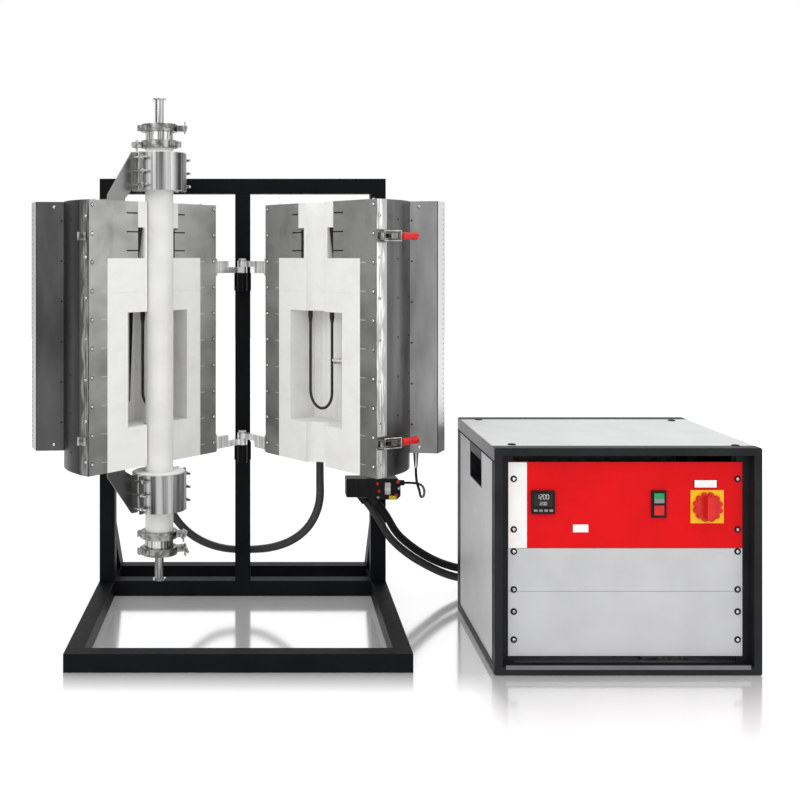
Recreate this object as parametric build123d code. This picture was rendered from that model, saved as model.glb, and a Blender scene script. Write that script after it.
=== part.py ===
from build123d import *
import math
import os

# Split tube furnace: two hinged furnace halves on a stand, a vertical ceramic work tube and a control box.
# Millimetres, +Z up. The origin is on the floor, under the middle of the centre post.
# The front of the furnace faces -Y.

# ---- stand: welded square tube ----
bar = 38.0                 # square tube size
bar_wall = 3.0
stand_width = 720.0
stand_height = 1050.0
base_front = 550.0         # from the centre post's axis to the base's front
base_rear = 160.0          # from the centre post's axis to the base's rear

# ---- hinges ----
pivot_reach = 45.0         # from the front of the centre post to the hinge axis
open_left = 40.0           # how far each half stands open at rest, in degrees
open_right = 35.5
pin_radius = 5.0
pin_play = 0.05            # running fit of the eyes on the pins
eye_radius = 12.0
arm_height = 29.0
arm_thickness = 12.0
arm_levels = (389.0, 814.0)    # undersides of the lower and upper arms
lap_end = 50.0             # where the half-lapped tongue grows to the arm's full height
arm_play = 0.4             # between stacked hinge faces
bracket_drop = 45.0        # height of a hinge bracket

# ---- furnace half, seen from above in its own frame: X away from the hinge axis, Y behind the face ----
face_gap = 3.0             # half of the gap between the closed faces
face_near = 94.0
face_far = 500.0
face_bottom = 382.0
face_sheet = 2.0
return_depth = 30.0        # folded sides of the face plates
shell_sheet = 1.5
shell_straight = 7.0       # straight side of the casing before its round back
tube_axis = 289.0          # work tube's axis, from the hinge axis
tube_play = 3.0            # between the tube and the insulation bore

# ---- insulation ----
block_near = 149.0         # edges of the main block, from the hinge axis
block_far = 445.0
block_depth = 100.0
sill_height = 92.0         # heights of the layers, from the bottom
chamber_height = 256.0
lintel_height = 45.0
top_block_height = 76.0
neck_height = 127.0
neck_width = 128.0
neck_depth = 67.0
neck_waist = 86.0          # the neck's narrow lower part
neck_shoulder = 69.0       # height of that narrow part
waist_reveal = 4.0         # between the waist and the near face plate
chamber_width = 190.0
chamber_depth = 72.0
fibre_play = 0.4           # between fibre and metal

# ---- slits that let the face plates expand ----
slit_width = 2.0
neck_slit_width = 3.0
neck_slit_ends = (201.0, 388.0)        # from the hinge axis
neck_slit_rises = (17.0, 59.0, 101.0)  # above the main block
side_slit_length = 18.0
slit_rows = 8
slit_drop = 135.6          # of the highest side slit below the half's top
slit_pitch = 62.3

# ---- heating element ----
leg_radius = 3.2
terminal_radius = 5.5
leg_spacing = 80.0
element_axis = 262.0       # middle of the two legs, from the hinge axis
element_depth = 41.0       # of the legs behind the hinge plane
bend_rise = 70.0           # centre of the U bend, above the chamber's floor
terminal_drop = 14.0       # start of the thick terminals, below the chamber's top
terminal_taper = 16.0
terminal_rise = 70.0       # where the terminals turn to the back, above the chamber's top
terminal_play = 0.5

# ---- rear terminal cover ----
cover_rise = 34.0          # of the cover's lower end above the half's
cover_sheet = 1.5
wing_reach = 194.0         # half width over the flared wings
wing_depth = 190.0         # of the wing edges behind the hinge plane
cover_half_back = 171.0    # half width of the flat back
cover_depth = 234.0        # of the flat back behind the hinge plane
wing_root = 149.0          # half width where the wings leave the casing
wing_root_depth = 143.0

# ---- work tube and its collars ----
tube_radius = 32.0
tube_wall = 5.0
tube_bottom = 222.0
tube_top = 1110.0
collar_radius = 62.0
collar_sheet = 3.0
collar_height = 85.0
collar_gap = 18.0          # between casing and lower collar
collar_gap_top = 26.0
ear_reach = 15.0
ear_split = 10.0           # half of the distance between a collar's ears
fibre_overlap = 2.0        # the fibre stands this much above its collar
bolt_radius = 3.0
bolt_count = 3
bolt_inset = 12.0
bolt_tail = 12.0           # thread in front of the nut
nut_radius = 5.5
nut_height = 5.0
gusset_sheet = 3.0
gusset_foot_far = 146.0    # from the tube's axis
gusset_foot_near = 94.0
foot_depth = 28.0

# ---- end fittings: clamped vacuum flanges ----
flange_radius = 36.5
flange_thickness = 5.0
spool_height = 37.0
spool_wall = 2.0
pipe_radius = 10.0
pipe_bore = 8.0
pipe_length = 60.0
small_flange_radius = 15.0
small_flange_thickness = 3.0
clamp_radius = 41.0
clamp_height = 17.0
clamp_play = 0.3
clamp_split = 1.5          # half of the gap between a clamp's jaws
clamp_ear = 21.0
clamp_bolt_inset = 5.0     # of the eye bolt from the ear's end
clamp_bolt_length = 40.0
clamp_bolt_radius = 3.0
wing_span = 14.0
wing_thickness = 3.0
wing_height = 12.0

# ---- toggle latches ----
latch_rises = (75.0, 517.0)    # above the half's lower end
latch_base_height = 28.0
latch_pivot_out = 12.0     # lever pivot from the side of the half
latch_pivot_depth = 8.0   # lever pivot behind the hinge plane
lever_end = 63.0
lever_height = 13.0
lever_thickness = 6.0
grip_radius = 8.8
grip_length = 47.0
grip_edge = 2.5
latch_play = 0.5          # between the base's cheeks and the hook's pin
hook_pivot_depth = 15.0
hook_length = 41.0
hook_radius = 1.5
hook_half_height = 10.6

# ---- control box: 19 inch sub-rack in an extruded frame ----
box_left = 524.0
box_front = 566.0          # distance of its front from the centre post's axis
box_width = 546.0
box_depth = 449.0
rack_margin = 31.975       # above and below the rack panels
frame_bar = 16.0
frame_length = 30.0
panel_sheet = 1.5
rack_unit = 44.45
rack_width = 482.6
rack_panel = 3.0
panel_recess = 22.0
back_recess = 6.5
back_glands = ((695.6, 50.0), (726.6, 82.0))    # where the conduits enter the back panel
back_gland_length = 26.5
panel_play = 0.3
units = (3, 2, 4)          # heights of the rack panels, from the bottom
handle_length = 139.0
handle_height = 88.0
handle_depth = 24.0
handle_front = 150.0       # from the box's front to the handle
handle_drop = 24.0         # from the box's top to the handle

# ---- instruments on the control panel, from the panel's left edge and top edge ----
controller_size = 48.0
controller_left = 47.5
controller_drop = 58.5
bezel_depth = 6.0
key_size = (8.0, 5.0)
key_travel = 0.8
switch_width = 30.0
switch_height = 56.0
switch_left = 295.0
switch_drop = 58.5
button_size = (21.0, 21.0)
button_travel = 4.0
plate_size = 68.0
plate_left = 375.5
plate_drop = 58.0
plate_sheet = 2.0
knob_radius = 26.0
knob_height = 8.0
knob_grip = 24.0

# ---- connector box on the right post ----
plug_box_width = 79.0
plug_box_depth = 45.0
plug_box_bottom = 252.0
plug_box_height = 52.0
hood_width = 56.0
hood_depth = 46.0
hood_height = 46.0
hood_ribs = 3
gland_radius = 12.5
gland_height = 12.0

# ---- hoses ----
hose_radius = 10.0
conduit_radius = 10.0
lead_radius = 3.0
hose_gland_height = 20.0
lead_gland_height = 36.0
bend_share = 0.45          # of the shorter run beside each bend

half_bar = bar / 2
pivot_y = -half_bar - pivot_reach
face_middle = (face_near + face_far) / 2
chamber_bottom = face_bottom + sill_height
chamber_top = chamber_bottom + chamber_height
seam_height = chamber_top + lintel_height
block_top = seam_height + top_block_height
face_top = block_top + neck_height
cover_bottom = face_bottom + cover_rise
bend_level = chamber_bottom + bend_rise
terminal_start = chamber_top - terminal_drop
terminal_level = chamber_top + terminal_rise
box_height = sum(units) * rack_unit + 2 * rack_margin
parts = {}


def block(x0, x1, y0, y1, z0, z1):
    return Pos((x0 + x1) / 2, (y0 + y1) / 2, (z0 + z1) / 2) * Box(x1 - x0, y1 - y0, z1 - z0)


def disc(radius, x, y, z0, z1):
    return Pos(x, y, (z0 + z1) / 2) * Cylinder(radius, z1 - z0)


def rod(start, end, radius):
    start, end = Vector(*start), Vector(*end)
    line = end - start
    return Plane(origin=start, z_dir=line) * Pos(0, 0, line.length / 2) * Cylinder(radius, line.length)


def prism(points, z0, z1):
    face = make_face(Polyline(*points, close=True))
    return Pos(0, 0, z0) * extrude(face, amount=z1 - z0, dir=(0, 0, 1))


def upright_plate(points, y0, y1):
    # a plate that stands parallel to the XZ plane, from points (x, z)
    face = Plane.XZ * make_face(Polyline(*points, close=True))
    return Pos(0, y0, 0) * extrude(face, amount=y1 - y0, dir=(0, 1, 0))


def square_tube(x0, x1, y0, y1, z0, z1, along):
    # box section, open at both ends
    walls = {"x": (0, bar_wall, bar_wall), "y": (bar_wall, 0, bar_wall), "z": (bar_wall, bar_wall, 0)}[along]
    hollow = block(x0 + walls[0], x1 - walls[0], y0 + walls[1], y1 - walls[1], z0 + walls[2], z1 - walls[2])
    return block(x0, x1, y0, y1, z0, z1) - hollow


def solids(shape):
    return [solid for piece in (shape if isinstance(shape, (list, tuple)) else [shape]) for solid in piece.solids()]


def add(name, *shapes):
    parts[name] = [solid for shape in shapes for solid in solids(shape)]


def place(side, shape):
    # from a half's own frame to the stand's, open at its rest angle
    angle = {"left": open_left, "right": open_right}[side] - 90
    moved = Pos(0, pivot_y, 0) * Rot(0, 0, angle) * shape
    return mirror(moved, about=Plane.YZ) if side == "left" else moved


def place_point(side, x, y, z):
    angle = math.radians({"left": open_left, "right": open_right}[side] - 90)
    along = x * math.cos(angle) - y * math.sin(angle)
    across = x * math.sin(angle) + y * math.cos(angle)
    return (-along if side == "left" else along, pivot_y + across, z)


def cord(name, points, radius):
    # straight runs joined by tangent arcs, each as large as its two runs allow
    bends = []
    for before, corner, after in zip(points, points[1:], points[2:]):
        into, out = Vector(*corner) - Vector(*before), Vector(*after) - Vector(*corner)
        half_turn = math.radians(into.get_angle(out)) / 2
        bends.append(bend_share * min(into.length, out.length) / math.tan(half_turn))
    route = FilletPolyline(*points, radius=bends)
    start = Plane(origin=route @ 0, z_dir=route % 0)
    tube = sweep(start * Circle(radius), path=route)
    volume = math.pi * radius**2 * route.length
    print(name, "length", round(route.length, 1), "radii", [round(bend) for bend in bends],
          "volume share", round(tube.volume / volume, 4))
    add(name, tube)


# ================= stand =================

def make_stand():
    side = stand_width / 2
    inner = side - bar
    add("base_frame",
        square_tube(-side, -inner, -base_front, base_rear, 0, bar, "y"),
        square_tube(inner, side, -base_front, base_rear, 0, bar, "y"),
        square_tube(-inner, inner, -base_front, bar - base_front, 0, bar, "x"),
        square_tube(-inner, inner, -half_bar, half_bar, 0, bar, "x"),
        square_tube(-inner, inner, base_rear - bar, base_rear, 0, bar, "x"),
        *[block(x, x + bar - 2 * bar_wall, y, y + bar_wall, bar_wall, bar - bar_wall)
          for x in (bar_wall - side, inner + bar_wall) for y in (-base_front, base_rear - bar_wall)])
    top_bar = square_tube(-side, side, -half_bar, half_bar, stand_height - bar, stand_height, "x")
    caps = [block(x, x + bar_wall, bar_wall - half_bar, half_bar - bar_wall,
                  stand_height - bar + bar_wall, stand_height - bar_wall)
            for x in (-side, side - bar_wall)]
    posts = [square_tube(x - half_bar, x + half_bar, -half_bar, half_bar, bar, stand_height - bar, "z")
             for x in (half_bar - side, 0, side - half_bar)]
    rise = base_rear - half_bar                      # the braces stand at 45 degrees
    thick = bar * math.sqrt(2)
    outline = [(half_bar, bar + rise), (base_rear, bar), (base_rear - thick, bar), (half_bar, bar + rise - thick)]
    braces = []
    for x in (-side, inner):
        face = Plane.YZ * make_face(Polyline(*outline, close=True))
        braces.append(Pos(x, 0, 0) * extrude(face, amount=bar, dir=(1, 0, 0)))
    add("upright_frame", top_bar, *caps, *posts, *braces)


def make_hinges():
    brackets, pins = [], []
    for level in arm_levels:
        low, high = level - bracket_drop, level - arm_play
        bracket = block(-eye_radius, eye_radius, pivot_y, -half_bar, low, high)
        bracket += disc(eye_radius, 0, pivot_y, low, high)
        bracket += block(-half_bar - 2, half_bar + 2, -half_bar - 6, -half_bar, low, high)
        brackets.append(bracket - disc(pin_radius, 0, pivot_y, low + bar_wall, high))
        top = level + arm_height + arm_play
        pin = disc(pin_radius, 0, pivot_y, low + bar_wall, top)
        head = Pos(0, pivot_y, top) * extrude(RegularPolygon(9, 6), amount=6)
        washer = disc(eye_radius - 1, 0, pivot_y, top, top + 1.5)
        pins.append(pin + washer + head)
    add("hinge_brackets", *brackets)
    add("hinge_pins", *pins)


# ================= the furnace halves =================

def d_shape(radius, z0, z1):
    # half-round section about the casing's middle, flat towards the face
    front = face_gap + face_sheet
    centre = front + shell_straight
    round_back = disc(radius, face_middle, centre, z0, z1)
    round_back -= block(face_middle - radius, face_middle + radius, centre - radius, centre, z0, z1)
    return round_back + block(face_middle - radius, face_middle + radius, front, centre, z0, z1)


def make_face_plates(side):
    y0, y1 = face_gap, face_gap + face_sheet
    shoulder = block_top + neck_shoulder
    plates = []
    for sign, edge, inner_block, slit_end in ((-1, face_near, block_near, neck_slit_ends[0]),
                                              (1, face_far, block_far, neck_slit_ends[1])):
        inner_neck = tube_axis + sign * neck_width / 2
        plate = block(*sorted((inner_neck, edge)), y0, y1, block_top, face_top)
        if sign < 0:
            plate += block(inner_neck, tube_axis - neck_waist / 2 - waist_reveal, y0, y1, block_top, shoulder - waist_reveal)
        plate += block(*sorted((inner_block, edge)), y0, y1, face_bottom, block_top)
        plate += block(*sorted((edge, edge - sign * face_sheet)), y0, y0 + return_depth, face_bottom, face_top)
        half = neck_slit_width / 2
        for level in [block_top + rise for rise in neck_slit_rises]:
            plate -= block(*sorted((tube_axis, slit_end)), y0, y1, level - half, level + half)
        half = slit_width / 2
        reach = inner_block + sign * side_slit_length
        for level in [face_top - slit_drop - row * slit_pitch for row in range(slit_rows)]:
            plate -= block(*sorted((inner_block, reach)), y0, y1, level - half, level + half)
        plates.append(place(side, plate))
    add(side + "_face_plates", *plates)


def element_path(radius_extra=0.0):
    thin, thick = leg_radius + radius_extra, terminal_radius + radius_extra
    shapes = []
    for sign in (-1, 1):
        x = element_axis + sign * leg_spacing / 2
        shapes.append(disc(thin, x, element_depth, bend_level, terminal_start))
        shapes.append(Pos(x, element_depth, terminal_start - terminal_taper / 2) * Cone(thin, thick, terminal_taper))
        shapes.append(disc(thick, x, element_depth, terminal_start, terminal_level))
        shapes.append(Pos(x, element_depth, terminal_level) * Sphere(thick))
        shapes.append(rod((x, element_depth, terminal_level), (x, cover_depth - 12, terminal_level), thick))
    return shapes


def make_element(side):
    reach = leg_spacing / 2
    ends = [(element_axis + sign * reach, element_depth, bend_level) for sign in (-1, 1)]
    route = ThreePointArc(ends[0], (element_axis, element_depth, bend_level - reach), ends[1])
    body = sweep(Plane(origin=route @ 0, z_dir=route % 0) * Circle(leg_radius), path=route)
    for piece in (*[Pos(*end) * Sphere(leg_radius) for end in ends], *element_path()):
        body += piece
    add(side + "_element", place(side, body))


def make_insulation(side):
    y0, y1 = face_gap, face_gap + block_depth
    near, far = block_near, block_far
    room_near, room_far = tube_axis - chamber_width / 2, tube_axis + chamber_width / 2
    waist = neck_waist / 2
    neck = block(tube_axis - neck_width / 2, tube_axis + neck_width / 2, y0, y0 + neck_depth,
                 block_top + neck_shoulder, face_top)
    neck += block(tube_axis - waist, tube_axis + waist, y0, y0 + neck_depth, block_top, block_top + neck_shoulder)
    top_block = block(near, far, y0, y1, seam_height, block_top)
    lintel = block(near, far, y0, y1, chamber_top, seam_height)
    cheeks = [block(near, room_near, y0, y1, chamber_bottom, chamber_top),
              block(room_far, far, y0, y1, chamber_bottom, chamber_top)]
    back = block(room_near, room_far, y0 + chamber_depth, y1, chamber_bottom, chamber_top)
    sill = block(near, far, y0, y1, face_bottom, chamber_bottom)
    bore = disc(tube_radius + tube_play, tube_axis, 0, face_bottom - 1, face_top + 1)
    inner = face_far - face_middle - face_sheet - shell_sheet - fibre_play
    low, high = face_bottom + shell_sheet, face_top - shell_sheet
    packing = d_shape(inner, low, high)
    packing -= block(near, far, 0, y1, low, block_top)
    packing -= block(tube_axis - neck_width / 2, tube_axis + neck_width / 2, 0, y0 + neck_depth, block_top, high)
    holes = element_path(terminal_play)
    if side == "right":
        holes.append(probe_shape(terminal_play))
    pieces = []
    for piece in (neck, top_block, lintel, *cheeks, back, sill, packing):
        for hole in (bore, *holes):
            piece -= hole
        pieces.append(place(side, piece))
    add(side + "_insulation", *pieces)


def make_casing(side):
    radius = face_far - face_middle - face_sheet
    low, high = face_bottom, face_top
    shell = d_shape(radius, low, high) - d_shape(radius - shell_sheet, low, high)
    shell -= block(face_middle - radius + shell_sheet, face_middle + radius - shell_sheet,
                   face_gap, face_gap + face_sheet + shell_straight, low, high)
    for sign in (-1, 1):
        x = element_axis + sign * leg_spacing / 2
        shell -= rod((x, radius / 2, terminal_level), (x, radius + 40, terminal_level), terminal_radius + 8)
    if side == "right":
        shell -= probe_shape(3.0)
    plate = d_shape(radius - shell_sheet, high - shell_sheet, high)
    plate -= block(tube_axis - neck_width / 2, tube_axis + neck_width / 2, 0, face_gap + neck_depth,
                   low, high)
    floor = d_shape(radius - shell_sheet, low, low + shell_sheet)
    floor -= block(block_near, block_far, 0, face_gap + block_depth, low, high)
    x, y = link_exit
    nut = Pos(x, y, low - hose_gland_height) * extrude(RegularPolygon(hose_radius + 6, 6), amount=hose_gland_height)
    add(side + "_casing", *[place(side, piece) for piece in (shell, plate, floor, nut)])


def cover_outline(inset):
    slope = math.atan2(cover_depth - wing_depth, wing_reach - cover_half_back)
    side_step = inset / math.sin(slope)
    points = [(wing_root + inset, wing_root_depth + 2 * inset), (wing_reach - side_step * 1.2, wing_depth + inset * 0.2),
              (cover_half_back - side_step * 0.8, cover_depth - inset)]
    if not inset:
        points = [(wing_root, wing_root_depth), (wing_reach, wing_depth), (cover_half_back, cover_depth)]
    mirrored = [(-x, y) for x, y in reversed(points)]
    return [(face_middle + x, y) for x, y in points + mirrored]


def make_rear_cover(side):
    radius = face_far - face_middle - face_sheet
    cover = prism(cover_outline(0), cover_bottom, face_top)
    cover -= prism(cover_outline(cover_sheet), cover_bottom + cover_sheet, face_top - cover_sheet)
    cover -= d_shape(radius + fibre_play, cover_bottom - 1, face_top + 1)
    add(side + "_rear_cover", place(side, cover))


def make_hinge_arms(side):
    arms = []
    for level in arm_levels:
        half = level + arm_height / 2
        low, high = (level, half - arm_play / 2) if side == "left" else (half + arm_play / 2, level + arm_height)
        y0, y1 = 1.0, 1.0 + arm_thickness
        arm = disc(eye_radius, 0, 0, low, high) + block(0, lap_end, y0, y1, low, high)
        arm += block(lap_end, face_near, y0, y1, level, level + arm_height)
        arm += block(face_near - 6, face_near, y0 + face_gap, face_gap + return_depth,
                     level - 6, level + arm_height + 6)
        arm -= disc(pin_radius + pin_play, 0, 0, low - 1, high + 1)
        arms.append(place(side, arm))
    add(side + "_hinge_arms", *arms)


# ================= work tube, collars and end fittings =================

def collar_levels():
    lower = face_bottom - collar_gap - collar_height
    upper = face_top + collar_gap_top
    return (("lower", lower, face_bottom), ("upper", upper, face_top))


def make_collars():
    backs, fronts, fibres, bolts = [], [], [], []
    reach = collar_radius + ear_reach - collar_sheet
    for name, low, casing_end in collar_levels():
        high = low + collar_height
        ring = disc(collar_radius, tube_axis, 0, low, high)
        ring -= disc(collar_radius - collar_sheet, tube_axis, 0, low, high)
        root = math.sqrt((collar_radius - collar_sheet) ** 2 - ear_split**2)
        for sign, store in ((1, backs), (-1, fronts)):
            y0, y1 = sorted((sign * ear_split, sign * collar_radius))
            shell = ring & block(tube_axis - collar_radius, tube_axis + collar_radius, y0, y1, low, high)
            y0, y1 = sorted((sign * ear_split, sign * (ear_split + collar_sheet)))
            for edge in (-1, 1):
                x0, x1 = sorted((tube_axis + edge * root, tube_axis + edge * reach))
                shell += block(x0, x1, y0, y1, low, high)
            if sign > 0:
                shell += make_gusset(low, high, casing_end)
            store.append(place("left", shell))
        ring_radius = collar_radius - collar_sheet - fibre_play
        hole = disc(tube_radius + fibre_play, tube_axis, 0, low - 1, high + 3)
        fibre = disc(ring_radius, tube_axis, 0, low + fibre_overlap, high + fibre_overlap)
        fibres.append(place("left", fibre - hole))
        for edge in (-1, 1):
            x = tube_axis + edge * (reach - nut_radius + 1)
            for index in range(bolt_count):
                level = low + bolt_inset + index * (collar_height - 2 * bolt_inset) / (bolt_count - 1)
                bolts.append(place("left", collar_bolt(x, level, edge)))
    for store in (backs, fronts):
        for index, shell in enumerate(store):
            for bolt in bolts:
                shell -= bolt
            store[index] = shell
    add("collar_backs", *backs)
    add("collar_fronts", *fronts)
    add("collar_fibre", *fibres)
    add("collar_bolts", *bolts)


def collar_bolt(x, level, edge):
    # clamped against the back ear, or the gusset on it, and the front ear
    back = ear_split + collar_sheet + (gusset_sheet if edge > 0 else 0)
    front = -ear_split - collar_sheet
    bolt = rod((x, front - nut_height - bolt_tail, level), (x, back + nut_height, level), bolt_radius)
    for y0 in (front - nut_height, back):
        plane = Plane(origin=(x, y0, level), z_dir=(0, 1, 0))
        bolt += plane * extrude(RegularPolygon(nut_radius, 6), amount=nut_height)
    return bolt


def make_gusset(low, high, casing_end):
    # a sloping strut on the back ear, with a foot on the casing's end
    y0 = ear_split + collar_sheet
    ear_outer = tube_axis + collar_radius + ear_reach - collar_sheet
    ear_inner = tube_axis + collar_radius - 2
    foot_far, foot_near = tube_axis + gusset_foot_far, tube_axis + gusset_foot_near
    up = 1 if casing_end == face_top else -1
    foot = casing_end + up * 0.1
    rise = foot + up * 12
    ear_low, ear_high = (low, high) if up > 0 else (high, low)
    outline = [(foot_far, foot), (foot_far, rise), (ear_outer, ear_high), (ear_inner, ear_high),
               (ear_inner, ear_low), (ear_outer, ear_low), (foot_near, foot + up * 6), (foot_near, foot)]
    strut = upright_plate(outline, y0, y0 + gusset_sheet)
    z0, z1 = sorted((foot, foot + up * gusset_sheet))
    return strut + block(foot_near, foot_far, y0, y0 + foot_depth, z0, z1)


def make_work_tube():
    tube = disc(tube_radius, tube_axis, 0, tube_bottom, tube_top)
    tube -= disc(tube_radius - tube_wall, tube_axis, 0, tube_bottom, tube_top)
    add("work_tube", place("left", tube))


def end_fitting(up):
    # joined flanges beyond the tube's end, from the tube outwards: spool, then cap with its pipe
    end = tube_top if up > 0 else tube_bottom

    def ring(outer, inner, start, height):
        z0, z1 = sorted((end + up * start, end + up * (start + height)))
        body = disc(outer, tube_axis, 0, z0, z1)
        return body - disc(inner, tube_axis, 0, z0, z1) if inner else body

    sleeve = ring(flange_radius, tube_radius + 0.2, -flange_thickness, flange_thickness)
    bore = tube_radius - spool_wall
    spool = ring(tube_radius, bore, 0, spool_height) + ring(flange_radius, bore, 0, flange_thickness)
    spool += ring(flange_radius, bore, spool_height - flange_thickness, flange_thickness)
    cap = ring(flange_radius, pipe_bore, spool_height, flange_thickness)
    cap += ring(pipe_radius, pipe_bore, spool_height, flange_thickness + pipe_length)
    cap += ring(small_flange_radius, pipe_bore, spool_height + flange_thickness + pipe_length,
                small_flange_thickness)
    return [sleeve, spool, cap]


def clamp_shape(level, turn):
    # two jaws with a V groove, hinged at the back and drawn together by an eye bolt beside the wing nut
    outline = disc(clamp_radius, tube_axis, 0, level - clamp_height / 2, level + clamp_height / 2)
    outline -= disc(tube_radius + 1.2, tube_axis, 0, level - clamp_height, level + clamp_height)
    groove = flange_thickness + clamp_play
    outline -= disc(flange_radius + clamp_play, tube_axis, 0, level - groove, level + groove)
    edge = tube_axis + clamp_radius
    ears = block(edge - 3, edge + clamp_ear, -9, 9, level - clamp_height / 2 + 2, level + clamp_height / 2 - 2)
    lug = block(tube_axis - clamp_radius - 9, tube_axis - clamp_radius + 3, -7, 7,
                level - clamp_height / 2 + 2, level + clamp_height / 2 - 2)
    jaws = outline + ears + lug
    split = block(tube_axis - 2 * clamp_radius, tube_axis + 2 * clamp_radius, -clamp_split, clamp_split,
                  level - clamp_height, level + clamp_height)
    jaws -= split
    bolt_x = edge + clamp_ear - clamp_bolt_inset
    bolt = rod((bolt_x, -14, level), (bolt_x, clamp_bolt_length, level), clamp_bolt_radius)
    bolt += rod((bolt_x, -14, level), (bolt_x, -9, level), clamp_bolt_radius + 3)
    jaws -= rod((bolt_x, -20, level), (bolt_x, clamp_bolt_length, level), clamp_bolt_radius + 0.2)
    about = Pos(tube_axis, 0, 0) * Rot(0, 0, turn) * Pos(-tube_axis, 0, 0)
    nut = rod((bolt_x, 9.3, level), (bolt_x, 9.3 + wing_height, level), clamp_bolt_radius + 3)
    for sign in (-1, 1):
        nut += block(bolt_x - wing_thickness / 2, bolt_x + wing_thickness / 2, 11, 9.3 + wing_height,
                     *sorted((level + sign * 5, level + sign * wing_span)))
    nut -= rod((bolt_x, 0, level), (bolt_x, clamp_bolt_length, level), clamp_bolt_radius + pin_play)
    return [about * shape for shape in (jaws, bolt, nut)]


clamp_turns = {"upper_outer": 222.0, "upper_inner": 58.0, "lower_inner": 232.0, "lower_outer": 212.0}


def clamp_levels():
    return {"upper_inner": tube_top, "upper_outer": tube_top + spool_height,
            "lower_inner": tube_bottom, "lower_outer": tube_bottom - spool_height}


def make_end_fittings():
    add("end_flanges", *[place("left", piece) for up in (1, -1) for piece in end_fitting(up)])
    held = []
    for name, level in clamp_levels().items():
        jaws, bolt, nut = clamp_shape(level, clamp_turns[name])
        held += [place("left", jaws), place("left", bolt)]
        add("wing_nut_" + name, place("left", nut))
    add("chain_clamps", *held)


# ================= latches and thermocouple =================

def make_latches():
    out = face_far + latch_pivot_out
    # round the lever's pin, inside the circle that the hook's pin sweeps
    cheek = hook_pivot_depth - latch_pivot_depth - hook_radius - latch_play
    bases, keepers = [], []
    for name, level in zip(("lower", "upper"), [face_bottom + rise for rise in latch_rises]):
        tall = latch_base_height / 2
        base = block(face_far, face_far + 3, face_gap + 1, face_gap + return_depth, level - tall, level + tall)
        for sign in (-1, 1):
            z0, z1 = sorted((level + sign * 7, level + sign * 8.8))
            base += block(face_far, out, latch_pivot_depth - cheek, latch_pivot_depth + cheek, z0, z1)
            base += disc(cheek, out, latch_pivot_depth, z0, z1)
        base += disc(1.5, out, latch_pivot_depth, level - 8.8, level + 8.8)
        bases.append(place("right", base))
        half = lever_height / 2
        thick = lever_thickness / 2
        lever = block(out - thick, out + thick, latch_pivot_depth, lever_end, level - half, level + half)
        lever += disc(thick, out, latch_pivot_depth, level - half, level + half)
        lever -= disc(1.5 + pin_play, out, latch_pivot_depth, level - half, level + half)
        lever -= rod((out, hook_pivot_depth, level - 20), (out, hook_pivot_depth, level + 20),
                     hook_radius + pin_play)
        grip = rod((out, lever_end, level), (out, lever_end + grip_length, level), grip_radius)
        grip = chamfer(grip.edges().filter_by(GeomType.CIRCLE), grip_edge)
        add("latch_lever_" + name, place("right", lever), place("right", grip))
        high = hook_half_height
        end = hook_pivot_depth + hook_length
        hook = rod((out, hook_pivot_depth, level - high), (out, hook_pivot_depth, level + high), hook_radius)
        hook -= disc(5, out, hook_pivot_depth, level - 1.0, level + 1.0)
        bail = hook
        for sign in (-1, 1):
            bail += Pos(out, hook_pivot_depth, level + sign * high) * Sphere(hook_radius)
            bail += rod((out, hook_pivot_depth, level + sign * high), (out + 7, end, level + sign * high),
                        hook_radius)
            bail += Pos(out + 7, end, level + sign * high) * Sphere(hook_radius)
        bail += rod((out + 7, end, level - high), (out + 7, end, level + high), hook_radius)
        add("latch_hook_" + name, place("right", bail))
        keeper = block(face_far, face_far + 2, 10, face_gap + return_depth - 3, level - 9, level + 9)
        keeper += block(face_far, face_far + 9, 23, 25, level - 9, level + 9)
        keeper += block(face_far + 7, face_far + 9, 23, 29, level - 9, level + 9)
        keepers.append(place("left", keeper))
    add("latch_bases", *bases)
    add("latch_keepers", *keepers)


probe_level = 612.0
probe_radius = 4.0


def probe_shape(extra=0.0):
    return rod((face_middle, face_gap + chamber_depth - 22, probe_level), (face_middle, cover_depth - 20, probe_level),
               probe_radius + extra)


def make_thermocouple():
    x = face_middle
    head = block(x - 14, x + 14, cover_depth - 20, cover_depth - cover_sheet - 1, probe_level - 9, probe_level + 9)
    px, py = lead_exit
    sleeve = Pos(px, py, cover_bottom - lead_gland_height / 2) * Cone(lead_radius + 1, lead_radius + 3.5,
                                                                     lead_gland_height)
    add("thermocouple", place("right", probe_shape()), place("right", head), place("right", sleeve))


# ================= connector box and cords =================

link_exit = (160.0, 118.0)     # of the link hose, in a half's own frame
lead_exit = (444.0, 168.0)     # of the sensor lead
conduit_slope = Vector(0.62, 0.0, -0.785)
hood_gland_start = (301.0, -34.0, 252.0)
box_gland_start = (327.0, -50.0, 252.0)


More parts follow.
